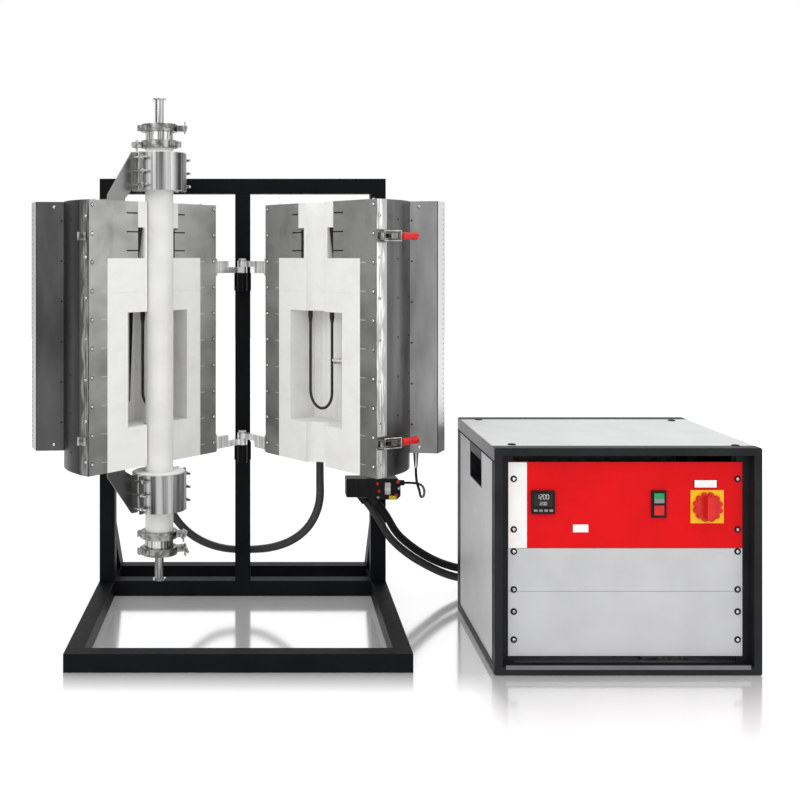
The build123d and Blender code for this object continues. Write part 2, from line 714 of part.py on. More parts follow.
def make_connector():
    right = stand_width / 2 + 32
    left = right - plug_box_width
    low, high = plug_box_bottom, plug_box_bottom + plug_box_height
    front = -half_bar - plug_box_depth
    cut = 9.0
    outline = [(left, low), (right - cut, low), (right, low + cut), (right, high - cut), (right - cut, high),
               (left, high)]
    box = upright_plate(outline, front, -half_bar)
    add("connector_box", fillet(box.edges().filter_by(Axis.Y), 2))
    hood = block(left - hood_width, left, front - 2, front - 2 + hood_depth, high - hood_height, high)
    hood = fillet(hood.edges().filter_by(Axis.Y), 3)
    for rib in range(hood_ribs):
        x = left - hood_width + 6 + rib * 11
        hood -= block(x, x + 4, front - 2, front, high - hood_height + 5, high - 5)
    plug = Pos(right + 6, -half_bar - 20, high - 15) * Rot(0, 90, 0) * Cylinder(7, 12)
    add("connector_plugs", hood, plug)
    glands = []
    for start in (hood_gland_start, box_gland_start):
        begin = Vector(*start) - conduit_slope * gland_radius
        gland = rod(tuple(begin), tuple(conduit_start(start)), gland_radius)
        x, y, z = start
        glands.append(gland - block(x - 40, x + 40, y - 40, y + 40, z, z + 40))
    return glands


def conduit_start(start):
    return Vector(*start) + conduit_slope * gland_height


def conduit_end(gland, drops):
    # the last points of a conduit: round behind the control box and into its back
    x, z = gland
    end = box_depth - box_front - back_recess + back_gland_length
    turn = [(x - reach, end + out, z - drop) for reach, out, drop in zip((90.6, 49, 17.2), (135.1, 117.9, 86.1), drops)]
    return [*turn, (x, end + 44.5, z), (x, end, z)]


def make_cords():
    low = face_bottom - hose_gland_height
    right_start = place_point("right", *link_exit, low)
    left_start = place_point("left", *link_exit, low)
    clip = (0.0, half_bar + hose_radius + 3, 104.0)
    cord("link_hose_right", [right_start, (right_start[0], right_start[1], 312), (191, -106, 262), (180, -80, 214),
                             (157, -52, 172), (121, -22, 138), (76, 8, 115), (28, 32, 104), clip], hose_radius)
    cord("link_hose_left", [clip, (-30, 32, 104), (-76, 28, 114), (-118, 8, 138), (-152, -22, 174),
                            (-176, -56, 218), (-189, -88, 266), (left_start[0], left_start[1], 314), left_start],
         hose_radius)
    ring = rod((-8, clip[1], clip[2]), (8, clip[1], clip[2]), hose_radius + 2.5)
    ring += block(-8, 8, half_bar, clip[1], clip[2] - 4, clip[2] + 4)
    ring -= rod((-9, clip[1], clip[2]), (9, clip[1], clip[2]), hose_radius)
    lead_start = place_point("right", *lead_exit, cover_bottom - lead_gland_height)
    plug_end = (stand_width / 2 + 32 + 12, -half_bar - 20, plug_box_bottom + plug_box_height - 15)
    cord("sensor_lead", [lead_start, (lead_start[0], lead_start[1], 352), (lead_start[0] + 12, -304, 322),
                         (414, -262, 300), (428, -210, 290), (438, -156, 287), (443, -118, 288), (444, -84, plug_end[2]),
                         (441, -57, plug_end[2]), (plug_end[0] + 22, plug_end[1], plug_end[2]), plug_end],
         lead_radius)
    grey = conduit_start(hood_gland_start)
    grey_next = conduit_start(hood_gland_start) + conduit_slope * 44
    cord("conduit_grey", [tuple(grey), tuple(grey_next), (366, -34, 162), (398, -30, 130), (436, -18, 101),
                          (474, -2, 76), (516, 17, 52), (560, 32, 34), *conduit_end(back_glands[0], (24, 22, 12))],
         conduit_radius)
    black = conduit_start(box_gland_start)
    black_next = conduit_start(box_gland_start) + conduit_slope * 40
    cord("conduit_black", [tuple(black), tuple(black_next), (390, -48, 172), (424, -38, 144), (462, -22, 118),
                           (502, 0, 94), (544, 20, 74), (588, 34, 60), *conduit_end(back_glands[1], (26, 20, 10))],
         conduit_radius)
    glands = make_connector()
    back = box_depth - box_front - back_recess
    for x, z in back_glands:
        glands.append(rod((x, back, z), (x, back + back_gland_length, z), gland_radius))
    inlet = block(box_left + 90, box_left + 150, back, back + 10, 90, 140)
    inlet -= block(box_left + 97, box_left + 143, back + 3, back + 11, 100, 130)
    add("cable_fittings", *glands, inlet, ring)


# ================= control box =================

def make_cabinet():
    x0, x1 = box_left, box_left + box_width
    y0, y1 = -box_front, box_depth - box_front
    frames = []
    for start in (y0, y1 - frame_length):
        ring = block(x0, x1, start, start + frame_length, 0, box_height)
        ring -= block(x0 + frame_bar, x1 - frame_bar, start, start + frame_length, frame_bar, box_height - frame_bar)
        ring = fillet(ring.edges().filter_by(Axis.Y).sort_by(lambda edge: -abs(edge.center().X - (x0 + x1) / 2))[:4], 3)
        frames.append(ring)
    inner_left, inner_right = x0 + frame_bar, x1 - frame_bar
    middle = (x0 + x1) / 2
    rack_bottom = (box_height - sum(units) * rack_unit) / 2
    rack_top = rack_bottom + sum(units) * rack_unit
    for sign, edge in ((-1, inner_left), (1, inner_right)):
        inside = middle + sign * (rack_width / 2 - 12)
        rail = block(*sorted((edge, inside)), y0 + panel_recess + rack_panel, y0 + panel_recess + rack_panel + 3,
                     frame_bar, box_height - frame_bar)
        rail += block(*sorted((edge, edge - sign * 3)), y0 + panel_recess + rack_panel, y1 - frame_length,
                      box_height / 2 - 20, box_height / 2 + 20)
        frames.append(rail)
    add("cabinet_frames", *frames)
    skin0, skin1 = y0 + frame_length, y1 - frame_length
    hole_y = y0 + handle_front
    hole_z = box_height - handle_drop - handle_height
    sides, handles = [], []
    for sign, edge in ((1, x0), (-1, x1)):
        skin = block(*sorted((edge + sign * 1.5, edge + sign * (1.5 + panel_sheet))), skin0, skin1, 3, box_height - 4)
        skin -= block(*sorted((edge, edge + sign * 6)), hole_y, hole_y + handle_length, hole_z, hole_z + handle_height)
        sides.append(skin)
        cup = block(*sorted((edge + sign * 1.5, edge + sign * handle_depth)), hole_y, hole_y + handle_length,
                    hole_z, hole_z + handle_height)
        cup -= block(*sorted((edge, edge + sign * (handle_depth - 2))), hole_y + 3, hole_y + handle_length - 3,
                     hole_z + 3, hole_z + handle_height - 3)
        bar_high = hole_z + handle_height - 3
        cup += block(*sorted((edge + sign * 2, edge + sign * 8)), hole_y + 3, hole_y + handle_length - 3,
                     bar_high - 26, bar_high)
        handles.append(cup)
    back = block(inner_left, inner_right, y1 - back_recess - panel_sheet, y1 - back_recess, frame_bar,
                 box_height - frame_bar)
    for x, z in back_glands:
        back -= rod((x, y1 - 10, z), (x, y1, z), conduit_radius)
    base = block(x0 + 3, x1 - 3, skin0, skin1, 4, 4 + panel_sheet)
    top = block(x0 + 1.5, x1 - 1.5, skin0, skin1, box_height - 4 + 0.3, box_height - 1)
    add("cabinet_panels", *sides, back, base, top)
    add("side_handles", *handles)
    return middle, rack_bottom, rack_top, y0 + panel_recess


def rack_face(middle, low, high, front):
    plate = block(middle - rack_width / 2, middle + rack_width / 2, front, front + rack_panel,
                  low + panel_play, high - panel_play)
    return plate


def make_controls():
    middle, low, top, front = make_cabinet()
    levels = [low]
    for count in units:
        levels.append(levels[-1] + count * rack_unit)
    left = middle - rack_width / 2
    panel = rack_face(middle, levels[2], levels[3], front)
    # temperature controller
    cx0, cz1 = left + controller_left, top - controller_drop
    cx1, cz0 = cx0 + controller_size, cz1 - controller_size
    panel -= block(cx0 + 2, cx1 - 2, front, front + rack_panel, cz0 + 2, cz1 - 2)
    bezel = block(cx0, cx1, front - bezel_depth, front, cz0, cz1)
    bezel = fillet(bezel.edges().filter_by(Axis.Y), 2)
    bezel -= block(cx0 + 4, cx1 - 4, front - bezel_depth, front - bezel_depth + 1.5, cz0 + 14, cz1 - 5)
    bezel += block(cx0 + 2.3, cx1 - 2.3, front, front + 60, cz0 + 2.3, cz1 - 2.3)
    key_gap = (controller_size - 8 - 4 * key_size[0]) / 3
    for index, name in enumerate(("page", "scroll", "down", "up")):
        x = cx0 + 4 + index * (key_size[0] + key_gap)
        z = cz0 + 5
        bezel -= block(x, x + key_size[0], front - bezel_depth, front - bezel_depth + 3.5, z, z + key_size[1])
        key = block(x + 0.3, x + key_size[0] - 0.3, front - bezel_depth - 1, front - bezel_depth + 2.4,
                    z + 0.3, z + key_size[1] - 0.3)
        add("key_" + name, key)
    add("controller", bezel)
    # push buttons
    sx0, sz1 = left + switch_left, top - switch_drop
    sx1, sz0 = sx0 + switch_width, sz1 - switch_height
    panel -= block(sx0 + 2, sx1 - 2, front, front + rack_panel, sz0 + 2, sz1 - 2)
    body = block(sx0, sx1, front - 4, front, sz0, sz1) + block(sx0 + 2.3, sx1 - 2.3, front, front + 40,
                                                                sz0 + 2.3, sz1 - 2.3)
    bx = (sx0 + sx1) / 2 - button_size[0] / 2
    for name, z in (("red_button", sz0 + 5), ("green_button", sz1 - 5 - button_size[1])):
        body -= block(bx, bx + button_size[0], front - 4, front + 8, z, z + button_size[1])
        button = block(bx + 0.3, bx + button_size[0] - 0.3, front - 5, front + 3, z + 0.3, z + button_size[1] - 0.3)
        add(name, button)
    add("switch_body", body)
    # main isolator
    px0, pz1 = left + plate_left, top - plate_drop
    px, pz = px0 + plate_size / 2, pz1 - plate_size / 2
    panel -= rod((px, front, pz), (px, front + rack_panel, pz), 12)
    plate = block(px0, px0 + plate_size, front - plate_sheet, front, pz1 - plate_size, pz1)
    plate += rod((px, front, pz), (px, front + 50, pz), 11.6)
    plate -= rod((px, front - plate_sheet, pz), (px, front + 20, pz), 4 + pin_play)
    add("isolator_plate", plate)
    face = front - plate_sheet - 0.3
    knob = rod((px, face - knob_height, pz), (px, face, pz), knob_radius)
    grip = block(px - 8, px + 8, face - knob_grip, face - knob_height, pz - knob_radius + 1, pz + knob_radius - 1)
    grip = fillet(grip.edges().filter_by(Axis.Y), 7)
    knob += grip + rod((px, face, pz), (px, front + 18, pz), 4)
    add("isolator_knob", knob)
    add("control_panel", panel)
    add("blank_panels", rack_face(middle, levels[0], levels[1], front), rack_face(middle, levels[1], levels[2], front))
    # inside, on the base panel
    floor = 4 + panel_sheet
    deep = front + 110
    core = block(left + 60, left + 220, deep, deep + 130, floor, floor + 30)
    core += block(left + 60, left + 220, deep, deep + 130, floor + 130, floor + 160)
    for x in (60, 120, 180):
        core += block(left + x, left + x + 40, deep, deep + 130, floor + 30, floor + 130)
    add("transformer", core)
    unit = block(left + 280, left + 400, deep, deep + 20, floor, floor + 200)
    for fin in range(9):
        unit += block(left + 280 + fin * 14, left + 284 + fin * 14, deep + 20, deep + 110, floor, floor + 200)
    unit += block(left + 290, left + 390, deep - 60, deep, floor, floor + 170)
    add("power_controller", unit)


make_stand()
make_hinges()
for name in ("left", "right"):
    make_face_plates(name)
    make_casing(name)
    make_rear_cover(name)
    make_insulation(name)
    make_element(name)
    make_hinge_arms(name)
make_collars()
make_work_tube()
make_end_fittings()
make_latches()
make_thermocouple()
make_cords()
make_controls()

os.makedirs("parts", exist_ok=True)
for name, shapes in parts.items():
    shape = shapes[0] if len(shapes) == 1 else Compound(children=shapes)
    export_step(shape, os.path.join("parts", name + ".step"))
print(len(parts), "nodes")
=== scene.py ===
import math
import bpy
import bmesh
from mathutils import Matrix, Quaternion, Vector


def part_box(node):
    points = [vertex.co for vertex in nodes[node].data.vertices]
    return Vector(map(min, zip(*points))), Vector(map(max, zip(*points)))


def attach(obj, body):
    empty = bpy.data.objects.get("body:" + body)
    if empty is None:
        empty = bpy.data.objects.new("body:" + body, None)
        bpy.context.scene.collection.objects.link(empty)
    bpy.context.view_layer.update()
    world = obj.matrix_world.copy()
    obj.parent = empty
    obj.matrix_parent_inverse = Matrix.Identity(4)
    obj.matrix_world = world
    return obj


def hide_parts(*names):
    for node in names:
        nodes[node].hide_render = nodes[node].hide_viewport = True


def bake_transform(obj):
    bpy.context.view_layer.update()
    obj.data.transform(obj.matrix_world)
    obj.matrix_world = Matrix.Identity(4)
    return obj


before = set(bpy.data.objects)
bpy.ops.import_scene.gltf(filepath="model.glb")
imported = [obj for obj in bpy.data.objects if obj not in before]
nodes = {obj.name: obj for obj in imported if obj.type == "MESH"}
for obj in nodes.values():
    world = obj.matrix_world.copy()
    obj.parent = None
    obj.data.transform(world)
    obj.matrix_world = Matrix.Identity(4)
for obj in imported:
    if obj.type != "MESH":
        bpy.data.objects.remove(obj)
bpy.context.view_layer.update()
scene = bpy.context.scene
mm = 0.001
print("frame loaded:", len(nodes), "nodes")

# camera, lamps and floor

cameraView = {"place": (50.4, -2912.6, 858.5), "lens": 51.75, "shiftX": 0.1716, "shiftY": -0.1815}
lampSet = {
    "key": {"place": (-1500, -2900, 2500), "aim": (150, -100, 450), "size": 2.4, "power": 37},
    "fill": {"place": (2600, -2300, 1700), "aim": (300, -150, 350), "size": 2.2, "power": 20},
    "top": {"place": (350, -200, 3000), "aim": (350, -200, 0), "size": 3.0, "power": 22},
}
skyLevel = {"ambient": 0.84, "seen": 1.0}
floorLook = {"colour": "#F2F2F2", "nearGlow": 0.1, "farGlow": 0.4, "gloss": 0.75, "roughness": 0.12,
             "standFade": (-670, -550), "cabinetFade": (-980, -570)}


def hexColour(text):
    parts = [int(text[i:i + 2], 16) / 255 for i in (1, 3, 5)]
    return tuple(p / 12.92 if p <= 0.04045 else ((p + 0.055) / 1.055) ** 2.4 for p in parts) + (1.0,)


def addNode(tree, kind, inputs=None, **settings):
    # adds one node; an input is a value or another node's output
    node = tree.nodes.new(kind)
    for name, value in settings.items():
        setattr(node, name, value)
    for name, value in (inputs or {}).items():
        if isinstance(value, bpy.types.NodeSocket):
            tree.links.new(value, node.inputs[name])
        else:
            node.inputs[name].default_value = value
    return node


def calculate(tree, operation, first, second=None, clamp=False):
    # arithmetic on one or two values
    inputs = {0: first} if second is None else {0: first, 1: second}
    return addNode(tree, "ShaderNodeMath", inputs, operation=operation, use_clamp=clamp).outputs[0]


def makeCamera():
    data = bpy.data.cameras.new("studioCamera")
    data.sensor_width = 36
    data.lens = cameraView["lens"]
    data.shift_x = cameraView["shiftX"]
    data.shift_y = cameraView["shiftY"]
    data.clip_end = 50
    camera = bpy.data.objects.new("studioCamera", data)
    camera.location = Vector(cameraView["place"]) * mm
    camera.rotation_euler = (math.pi / 2, 0, 0)
    scene.collection.objects.link(camera)
    scene.camera = camera


def makeLamps():
    for name, lamp in lampSet.items():
        data = bpy.data.lights.new(name + "Softbox", "AREA")
        data.size = lamp["size"]
        data.energy = lamp["power"]
        softbox = bpy.data.objects.new(name + "Softbox", data)
        place = Vector(lamp["place"]) * mm
        softbox.location = place
        softbox.rotation_euler = (Vector(lamp["aim"]) * mm - place).to_track_quat("-Z", "Y").to_euler()
        scene.collection.objects.link(softbox)


def makeSky():
    # white where the camera, metal or glass sees it, softer where it lights the object
    world = bpy.data.worlds.new("whiteStudio")
    scene.world = world
    world.use_nodes = True
    tree = world.node_tree
    tree.nodes.clear()
    path = addNode(tree, "ShaderNodeLightPath")
    direct = calculate(tree, "MAXIMUM", path.outputs["Is Camera Ray"], path.outputs["Is Glossy Ray"])
    seen = calculate(tree, "MAXIMUM", direct, path.outputs["Is Transmission Ray"])
    level = addNode(tree, "ShaderNodeMapRange", {"Value": seen, "To Min": skyLevel["ambient"],
                                                 "To Max": skyLevel["seen"]})
    sky = addNode(tree, "ShaderNodeBackground", {"Color": (1, 1, 1, 1), "Strength": level.outputs[0]})
    addNode(tree, "ShaderNodeOutputWorld", {"Surface": sky.outputs[0]})


def makeFloor():
    material = bpy.data.materials.new("whiteAcrylicFloor")
    material.use_nodes = True
    tree = material.node_tree
    tree.nodes.clear()
    matt = addNode(tree, "ShaderNodeBsdfDiffuse", {"Color": hexColour(floorLook["colour"])})
    gloss = addNode(tree, "ShaderNodeBsdfGlossy", {"Color": (1, 1, 1, 1), "Roughness": floorLook["roughness"]})
    # the sheen fades out in front of the stand, and further out in front of the cabinet
    place = addNode(tree, "ShaderNodeTexCoord").outputs["Object"]
    spot = addNode(tree, "ShaderNodeSeparateXYZ", {0: place}).outputs
    fades = []
    for name in ("standFade", "cabinetFade"):
        low, high = (value * mm for value in floorLook[name])
        fades.append(addNode(tree, "ShaderNodeMapRange", {"Value": spot["Y"], "From Min": low, "From Max": high,
                                                          "To Min": 0.0, "To Max": floorLook["gloss"]}).outputs[0])
    across = addNode(tree, "ShaderNodeMapRange", {"Value": spot["X"], "From Min": 0.46, "From Max": 0.52}).outputs[0]
    sheen = addNode(tree, "ShaderNodeMix", {0: across, 2: fades[0], 3: fades[1]}).outputs[0]
    surface = addNode(tree, "ShaderNodeMixShader", {0: sheen, 1: matt.outputs[0], 2: gloss.outputs[0]})
    path = addNode(tree, "ShaderNodeLightPath")
    seen = calculate(tree, "MAXIMUM", path.outputs["Is Camera Ray"], path.outputs["Is Glossy Ray"])
    # more glow further out, so that the floor meets the white sky
    distance = addNode(tree, "ShaderNodeVectorMath", {0: place}, operation="LENGTH").outputs["Value"]
    glowLevel = addNode(tree, "ShaderNodeMapRange", {"Value": distance, "From Min": 0.9, "From Max": 3.0,
                                                     "To Min": floorLook["nearGlow"], "To Max": floorLook["farGlow"]})
    strength = calculate(tree, "MULTIPLY", seen, glowLevel.outputs[0])
    glow = addNode(tree, "ShaderNodeEmission", {"Color": (1, 1, 1, 1), "Strength": strength})
    both = addNode(tree, "ShaderNodeAddShader", {0: surface.outputs[0], 1: glow.outputs[0]})
    addNode(tree, "ShaderNodeOutputMaterial", {"Surface": both.outputs[0]})
    data = bpy.data.meshes.new("studioFloor")
    half = 9.0
    data.from_pydata([(-half, -half, -0.0006), (half, -half, -0.0006), (half, half, -0.0006), (-half, half, -0.0006)],
                     [], [(0, 1, 2, 3)])
    data.materials.append(material)
    floor = bpy.data.objects.new("studioFloor", data)
    scene.collection.objects.link(floor)


scene.view_settings.view_transform = "Standard"
makeCamera()
makeLamps()
makeSky()
makeFloor()
print("camera, lamps and floor ready")

# the two halves, each in a frame of its own: along its face from the hinge, and behind the face

pivotY = -64.0
openAngle = {"left": 40.0, "right": 35.5}
tubeAxis = 289.0    # the work tube's, along the left half


def halfPoint(side, along, behind, height):
    # from a half's own frame, in millimetres, to the scene
    turn = math.radians(openAngle[side])
    x = along * math.sin(turn) + behind * math.cos(turn)
    y = pivotY - along * math.cos(turn) + behind * math.sin(turn)
    return Vector((-x if side == "left" else x, y, height)) * mm


def halfDirection(side, along, behind, up=0.0):
    return (halfPoint(side, along, behind, up) - halfPoint(side, 0, 0, 0)).normalized()


# materials


def startMaterial(name):
    material = bpy.data.materials.new(name)
    material.use_nodes = True
    tree = material.node_tree
    tree.nodes.clear()
    place = addNode(tree, "ShaderNodeTexCoord").outputs["Object"]
    return material, tree, place


def noiseAt(tree, place, size, detail=3.0, stretch=(1, 1, 1), roughness=0.5):
    # noise whose grain is size millimetres wide, stretched along an axis
    scale = [1 / (size * mm * s) for s in stretch]
    mapped = addNode(tree, "ShaderNodeMapping", {"Vector": place, "Scale": scale})
    return addNode(tree, "ShaderNodeTexNoise", {"Vector": mapped.outputs[0], "Scale": 1.0, "Detail": detail,
                                                "Roughness": roughness}).outputs["Fac"]


def mixColours(tree, factor, first, second):
    mix = addNode(tree, "ShaderNodeMix", data_type="RGBA")
    for index, value in ((0, factor), (6, first), (7, second)):
        if isinstance(value, bpy.types.NodeSocket):
            tree.links.new(value, mix.inputs[index])
        else:
            mix.inputs[index].default_value = value
    return mix.outputs[2]


def spread(tree, value, low, high, fromLow=0.0, fromHigh=1.0):
    return addNode(tree, "ShaderNodeMapRange", {"Value": value, "From Min": fromLow, "From Max": fromHigh,
                                                "To Min": low, "To Max": high}).outputs[0]


def mottled(tree, noise, low, high, first, second):
    # the first colour where the noise is low, the second where it is high
    return mixColours(tree, spread(tree, noise, 0, 1, low, high), hexColour(first), hexColour(second))


def surface(tree, inputs, height=None, strength=0.2, depth=0.1, edge=0.0):
    # principled surface with an optional bump of depth millimetres and softened edges
    normal = None
    if edge:
        normal = addNode(tree, "ShaderNodeBevel", {"Radius": edge * mm}, samples=4).outputs[0]
    if height is not None:
        bump = addNode(tree, "ShaderNodeBump", {"Strength": strength, "Distance": depth * mm, "Height": height})
        if normal is not None:
            tree.links.new(normal, bump.inputs["Normal"])
        normal = bump.outputs[0]
    shader = addNode(tree, "ShaderNodeBsdfPrincipled", inputs)
    if normal is not None:
        tree.links.new(normal, shader.inputs["Normal"])
    addNode(tree, "ShaderNodeOutputMaterial", {"Surface": shader.outputs[0]})


def paintedMetal(name, colour, shade, roughness=0.42, gloss=0.5, edge=0.8, grain=1.6):
    # powder coat: an even colour with a fine orange peel and faint clouding
    material, tree, place = startMaterial(name)
    cloud = noiseAt(tree, place, 90, 2)
    peel = noiseAt(tree, place, grain, 2)
    colour = mottled(tree, cloud, 0.35, 0.65, colour, shade)
    rough = spread(tree, noiseAt(tree, place, 14, 3), roughness - 0.05, roughness + 0.06)
    surface(tree, {"Base Color": colour, "Roughness": rough, "Specular IOR Level": gloss}, peel, 0.25, 0.12, edge)
    return material


def brushedMetal(name, colour, shade, roughness, stain):
    # belt-brushed sheet: fine lines along one direction, with wide soft bands and handling marks
    material, tree, place = startMaterial(name)
    lines = noiseAt(tree, place, 1.2, 4, (1, 1, 60), 0.65)
    bands = noiseAt(tree, place, 34, 2, (1, 1, 9))
    colour = mottled(tree, bands, 0.3, 0.7, colour, shade)
    marks = spread(tree, noiseAt(tree, place, 46, 5, (1, 1, 2.2), 0.62), 0, 0.75, 0.54, 0.72)
    colour = mixColours(tree, marks, colour, hexColour(stain))
    rough = spread(tree, lines, roughness - 0.1, roughness + 0.12)
    surface(tree, {"Base Color": colour, "Metallic": 1.0, "Roughness": rough}, lines, 0.25, 0.05, 0.5)
    return material


def between(tree, value, low, high):
    # 1 where the value lies between low and high, else 0
    above = calculate(tree, "GREATER_THAN", value, low)
    below = calculate(tree, "LESS_THAN", value, high)
    return calculate(tree, "MULTIPLY", above, below)


def halfPlace(tree, place, side):
    # how far a spot lies along a half's face and behind it, from the hinge line
    turn = math.radians(openAngle[side])
    mirror = -1 if side == "left" else 1
    along = addNode(tree, "ShaderNodeVectorMath", {0: place, 1: (mirror * math.sin(turn), -math.cos(turn), 0)},
                    operation="DOT_PRODUCT").outputs["Value"]
    along = calculate(tree, "ADD", along, pivotY * mm * math.cos(turn))
    behind = addNode(tree, "ShaderNodeVectorMath", {0: place, 1: (mirror * math.cos(turn), math.sin(turn), 0)},
                     operation="DOT_PRODUCT").outputs["Value"]
    behind = calculate(tree, "ADD", behind, -pivotY * mm * math.sin(turn))
    return along, behind


def plateSteel(name, side, low, high, stain, foldShadeColour, foldHighlightColour):
    # satin stainless plate: fine horizontal brushing, painted light that falls off downwards, and folded edges
    # painted with a scalloped highlight between their screws over painted reflection streaks
    material, tree, place = startMaterial(name)
    along, behind = halfPlace(tree, place, side)
    height = addNode(tree, "ShaderNodeSeparateXYZ", {0: place}).outputs["Z"]
    lines = noiseAt(tree, place, 1.2, 4, (30, 30, 1), 0.6)
    cloud = noiseAt(tree, place, 110, 2, (1, 1, 0.7))
    # painted light: lighter towards the top and darker towards the bottom, with a random soft cloud
    fall = calculate(tree, "ADD", spread(tree, height, 0, 1, 0.42, 0.92), spread(tree, cloud, -0.45, 0.45, 0.3, 0.7),
                     clamp=True)
    colour = mixColours(tree, fall, hexColour(low), hexColour(high))
    marks = spread(tree, noiseAt(tree, place, 60, 4, (1, 1, 1.6)), 0, 0.5, 0.56, 0.72)
    colour = mixColours(tree, marks, colour, hexColour(stain))
    # painted highlight: the folded edge is painted bright in scallops between its screws, over painted reflection
    # streaks
    wave = calculate(tree, "MULTIPLY", height, math.pi / (88.4 * mm))
    wave = calculate(tree, "SINE", wave)
    wave = calculate(tree, "ABSOLUTE", wave)
    highlightReach = calculate(tree, "SUBTRACT", spread(tree, wave, 17 * mm, 27 * mm), behind)
    scallopHighlight = spread(tree, highlightReach, 0, 1, -1.5 * mm, 3 * mm)
    foldReflectionStreaks = mixColours(tree, spread(tree, noiseAt(tree, place, 5, 3, (1, 1, 12)), 0, 1, 0.4, 0.6),
                       hexColour(foldShadeColour), hexColour(foldHighlightColour))
    fold = mixColours(tree, scallopHighlight, hexColour(foldShadeColour), foldReflectionStreaks)
    folded = between(tree, along, 499.6 * mm, 520 * mm)
    colour = mixColours(tree, folded, colour, fold)
    seam = calculate(tree, "MAXIMUM", between(tree, behind, 32 * mm, 34.5 * mm),
                     between(tree, along, 498.2 * mm, 499.6 * mm))
    colour = mixColours(tree, seam, colour, hexColour("#121212"))
    rough = spread(tree, lines, 0.3, 0.5)
    surface(tree, {"Base Color": colour, "Metallic": 1.0, "Roughness": rough}, lines, 0.2, 0.05, 0.5)
    return material


def coverSteel(name, side, colour, shade, flank):
    # rolled stainless cover: broad soft clouds down the sheet, perforated flanks painted paler as painted light, and a
    # dark seam along each wing
    material, tree, place = startMaterial(name)
    along, behind = halfPlace(tree, place, side)
    lines = noiseAt(tree, place, 1.2, 4, (1, 1, 60), 0.65)
    cloud = noiseAt(tree, place, 70, 3, (1, 1, 3.5))
    base = mottled(tree, cloud, 0.35, 0.65, colour, shade)
    # painted light: the flanks are painted paler than the wings
    base = mixColours(tree, between(tree, behind, 192 * mm, 233 * mm), base, hexColour(flank))
    base = mixColours(tree, between(tree, behind, 189.2 * mm, 192 * mm), base, hexColour("#161616"))
    rough = spread(tree, lines, 0.3, 0.46)
    surface(tree, {"Base Color": base, "Metallic": 1.0, "Roughness": rough}, lines, 0.2, 0.05, 0.5)
    return material


def streakedSteel(name, dark, light, roughness, size=7, strutPaintedTones=None):
    # bright rolled strip: painted reflection, narrow dark and light streaks along the axis standing in for its mirrored
    # surroundings
    material, tree, place = startMaterial(name)
    paintedStreaks = noiseAt(tree, place, size, 3, (1, 1, 60), 0.55)
    fine = noiseAt(tree, place, 1.0, 3, (1, 1, 60))
    colour = mottled(tree, paintedStreaks, 0.38, 0.62, dark, light)
    if strutPaintedTones:
        # the flat struts beside the round collars get one even tone each, painted lighter above and darker below as
        # painted light
        along, behind = halfPlace(tree, place, "left")
        offset = calculate(tree, "SUBTRACT", along, tubeAxis * mm)
        centred = addNode(tree, "ShaderNodeCombineXYZ", {0: offset, 1: behind}).outputs[0]
        reach = addNode(tree, "ShaderNodeVectorMath", {0: centred}, operation="LENGTH").outputs["Value"]
        upper = addNode(tree, "ShaderNodeSeparateXYZ", {0: place}).outputs["Z"]
        paintedLightTone = mixColours(tree, between(tree, upper, 0.6, 2.0), hexColour(strutPaintedTones[0]), hexColour(strutPaintedTones[1]))
        colour = mixColours(tree, between(tree, reach, 63.5 * mm, 1.0), colour, paintedLightTone)
    rough = spread(tree, fine, roughness - 0.08, roughness + 0.1)
    surface(tree, {"Base Color": colour, "Metallic": 1.0, "Roughness": rough}, fine, 0.2, 0.05, 0.4)
    return material


def turnedMetal(name, colour, shade, roughness, edge=0.5):
    # machined or plated part: faint mottling and small scratches
    material, tree, place = startMaterial(name)
    fine = noiseAt(tree, place, 0.9, 3, (1, 1, 0.25))
    cloud = noiseAt(tree, place, 11, 3)
    colour = mottled(tree, cloud, 0.35, 0.65, colour, shade)
    rough = spread(tree, fine, roughness - 0.06, roughness + 0.1)
    surface(tree, {"Base Color": colour, "Metallic": 1.0, "Roughness": rough}, fine, 0.2, 0.05, edge)
    return material


def moulded(name, colour, shade, roughness, edge=0.4, grain=0.7, gloss=0.3):
    # moulded plastic or rubber with a fine eroded texture
    material, tree, place = startMaterial(name)
    fine = noiseAt(tree, place, grain, 2)
    cloud = noiseAt(tree, place, 16, 2)
    colour = mottled(tree, cloud, 0.35, 0.65, colour, shade)
    rough = spread(tree, cloud, roughness - 0.05, roughness + 0.05)
    surface(tree, {"Base Color": colour, "Roughness": rough, "Specular IOR Level": gloss}, fine, 0.18, 0.06, edge)
    return material


def fibreBoard(name):
    # vacuum-formed ceramic fibre: chalk white, felt-like grain, shallow dents and a trace of grey dust
    material, tree, place = startMaterial(name)
    felt = noiseAt(tree, place, 2.6, 6, (1, 1, 1), 0.7)
    dents = noiseAt(tree, place, 18, 3)
    dust = spread(tree, noiseAt(tree, place, 55, 4), 0, 0.6, 0.5, 0.75)
    colour = mottled(tree, felt, 0.3, 0.7, "#E9E9E7", "#E0E0DD")
    colour = mixColours(tree, dust, colour, hexColour("#D8D7D3"))
    height = calculate(tree, "ADD", felt, dents)
    surface(tree, {"Base Color": colour, "Roughness": 0.95, "Specular IOR Level": 0.2}, height, 0.5, 0.7, 1.2)
    return material


def sinteredAlumina(name):
    # dense sintered alumina tube: ivory white, eggshell gloss, very faint draw rings
    material, tree, place = startMaterial(name)
    rings = noiseAt(tree, place, 5, 2, (30, 30, 1))
    cloud = noiseAt(tree, place, 60, 3)
    colour = mottled(tree, cloud, 0.35, 0.65, "#D9D9D7", "#D0D0CE")
    surface(tree, {"Base Color": colour, "Roughness": 0.4}, rings, 0.2, 0.08, 0.6)
    return material


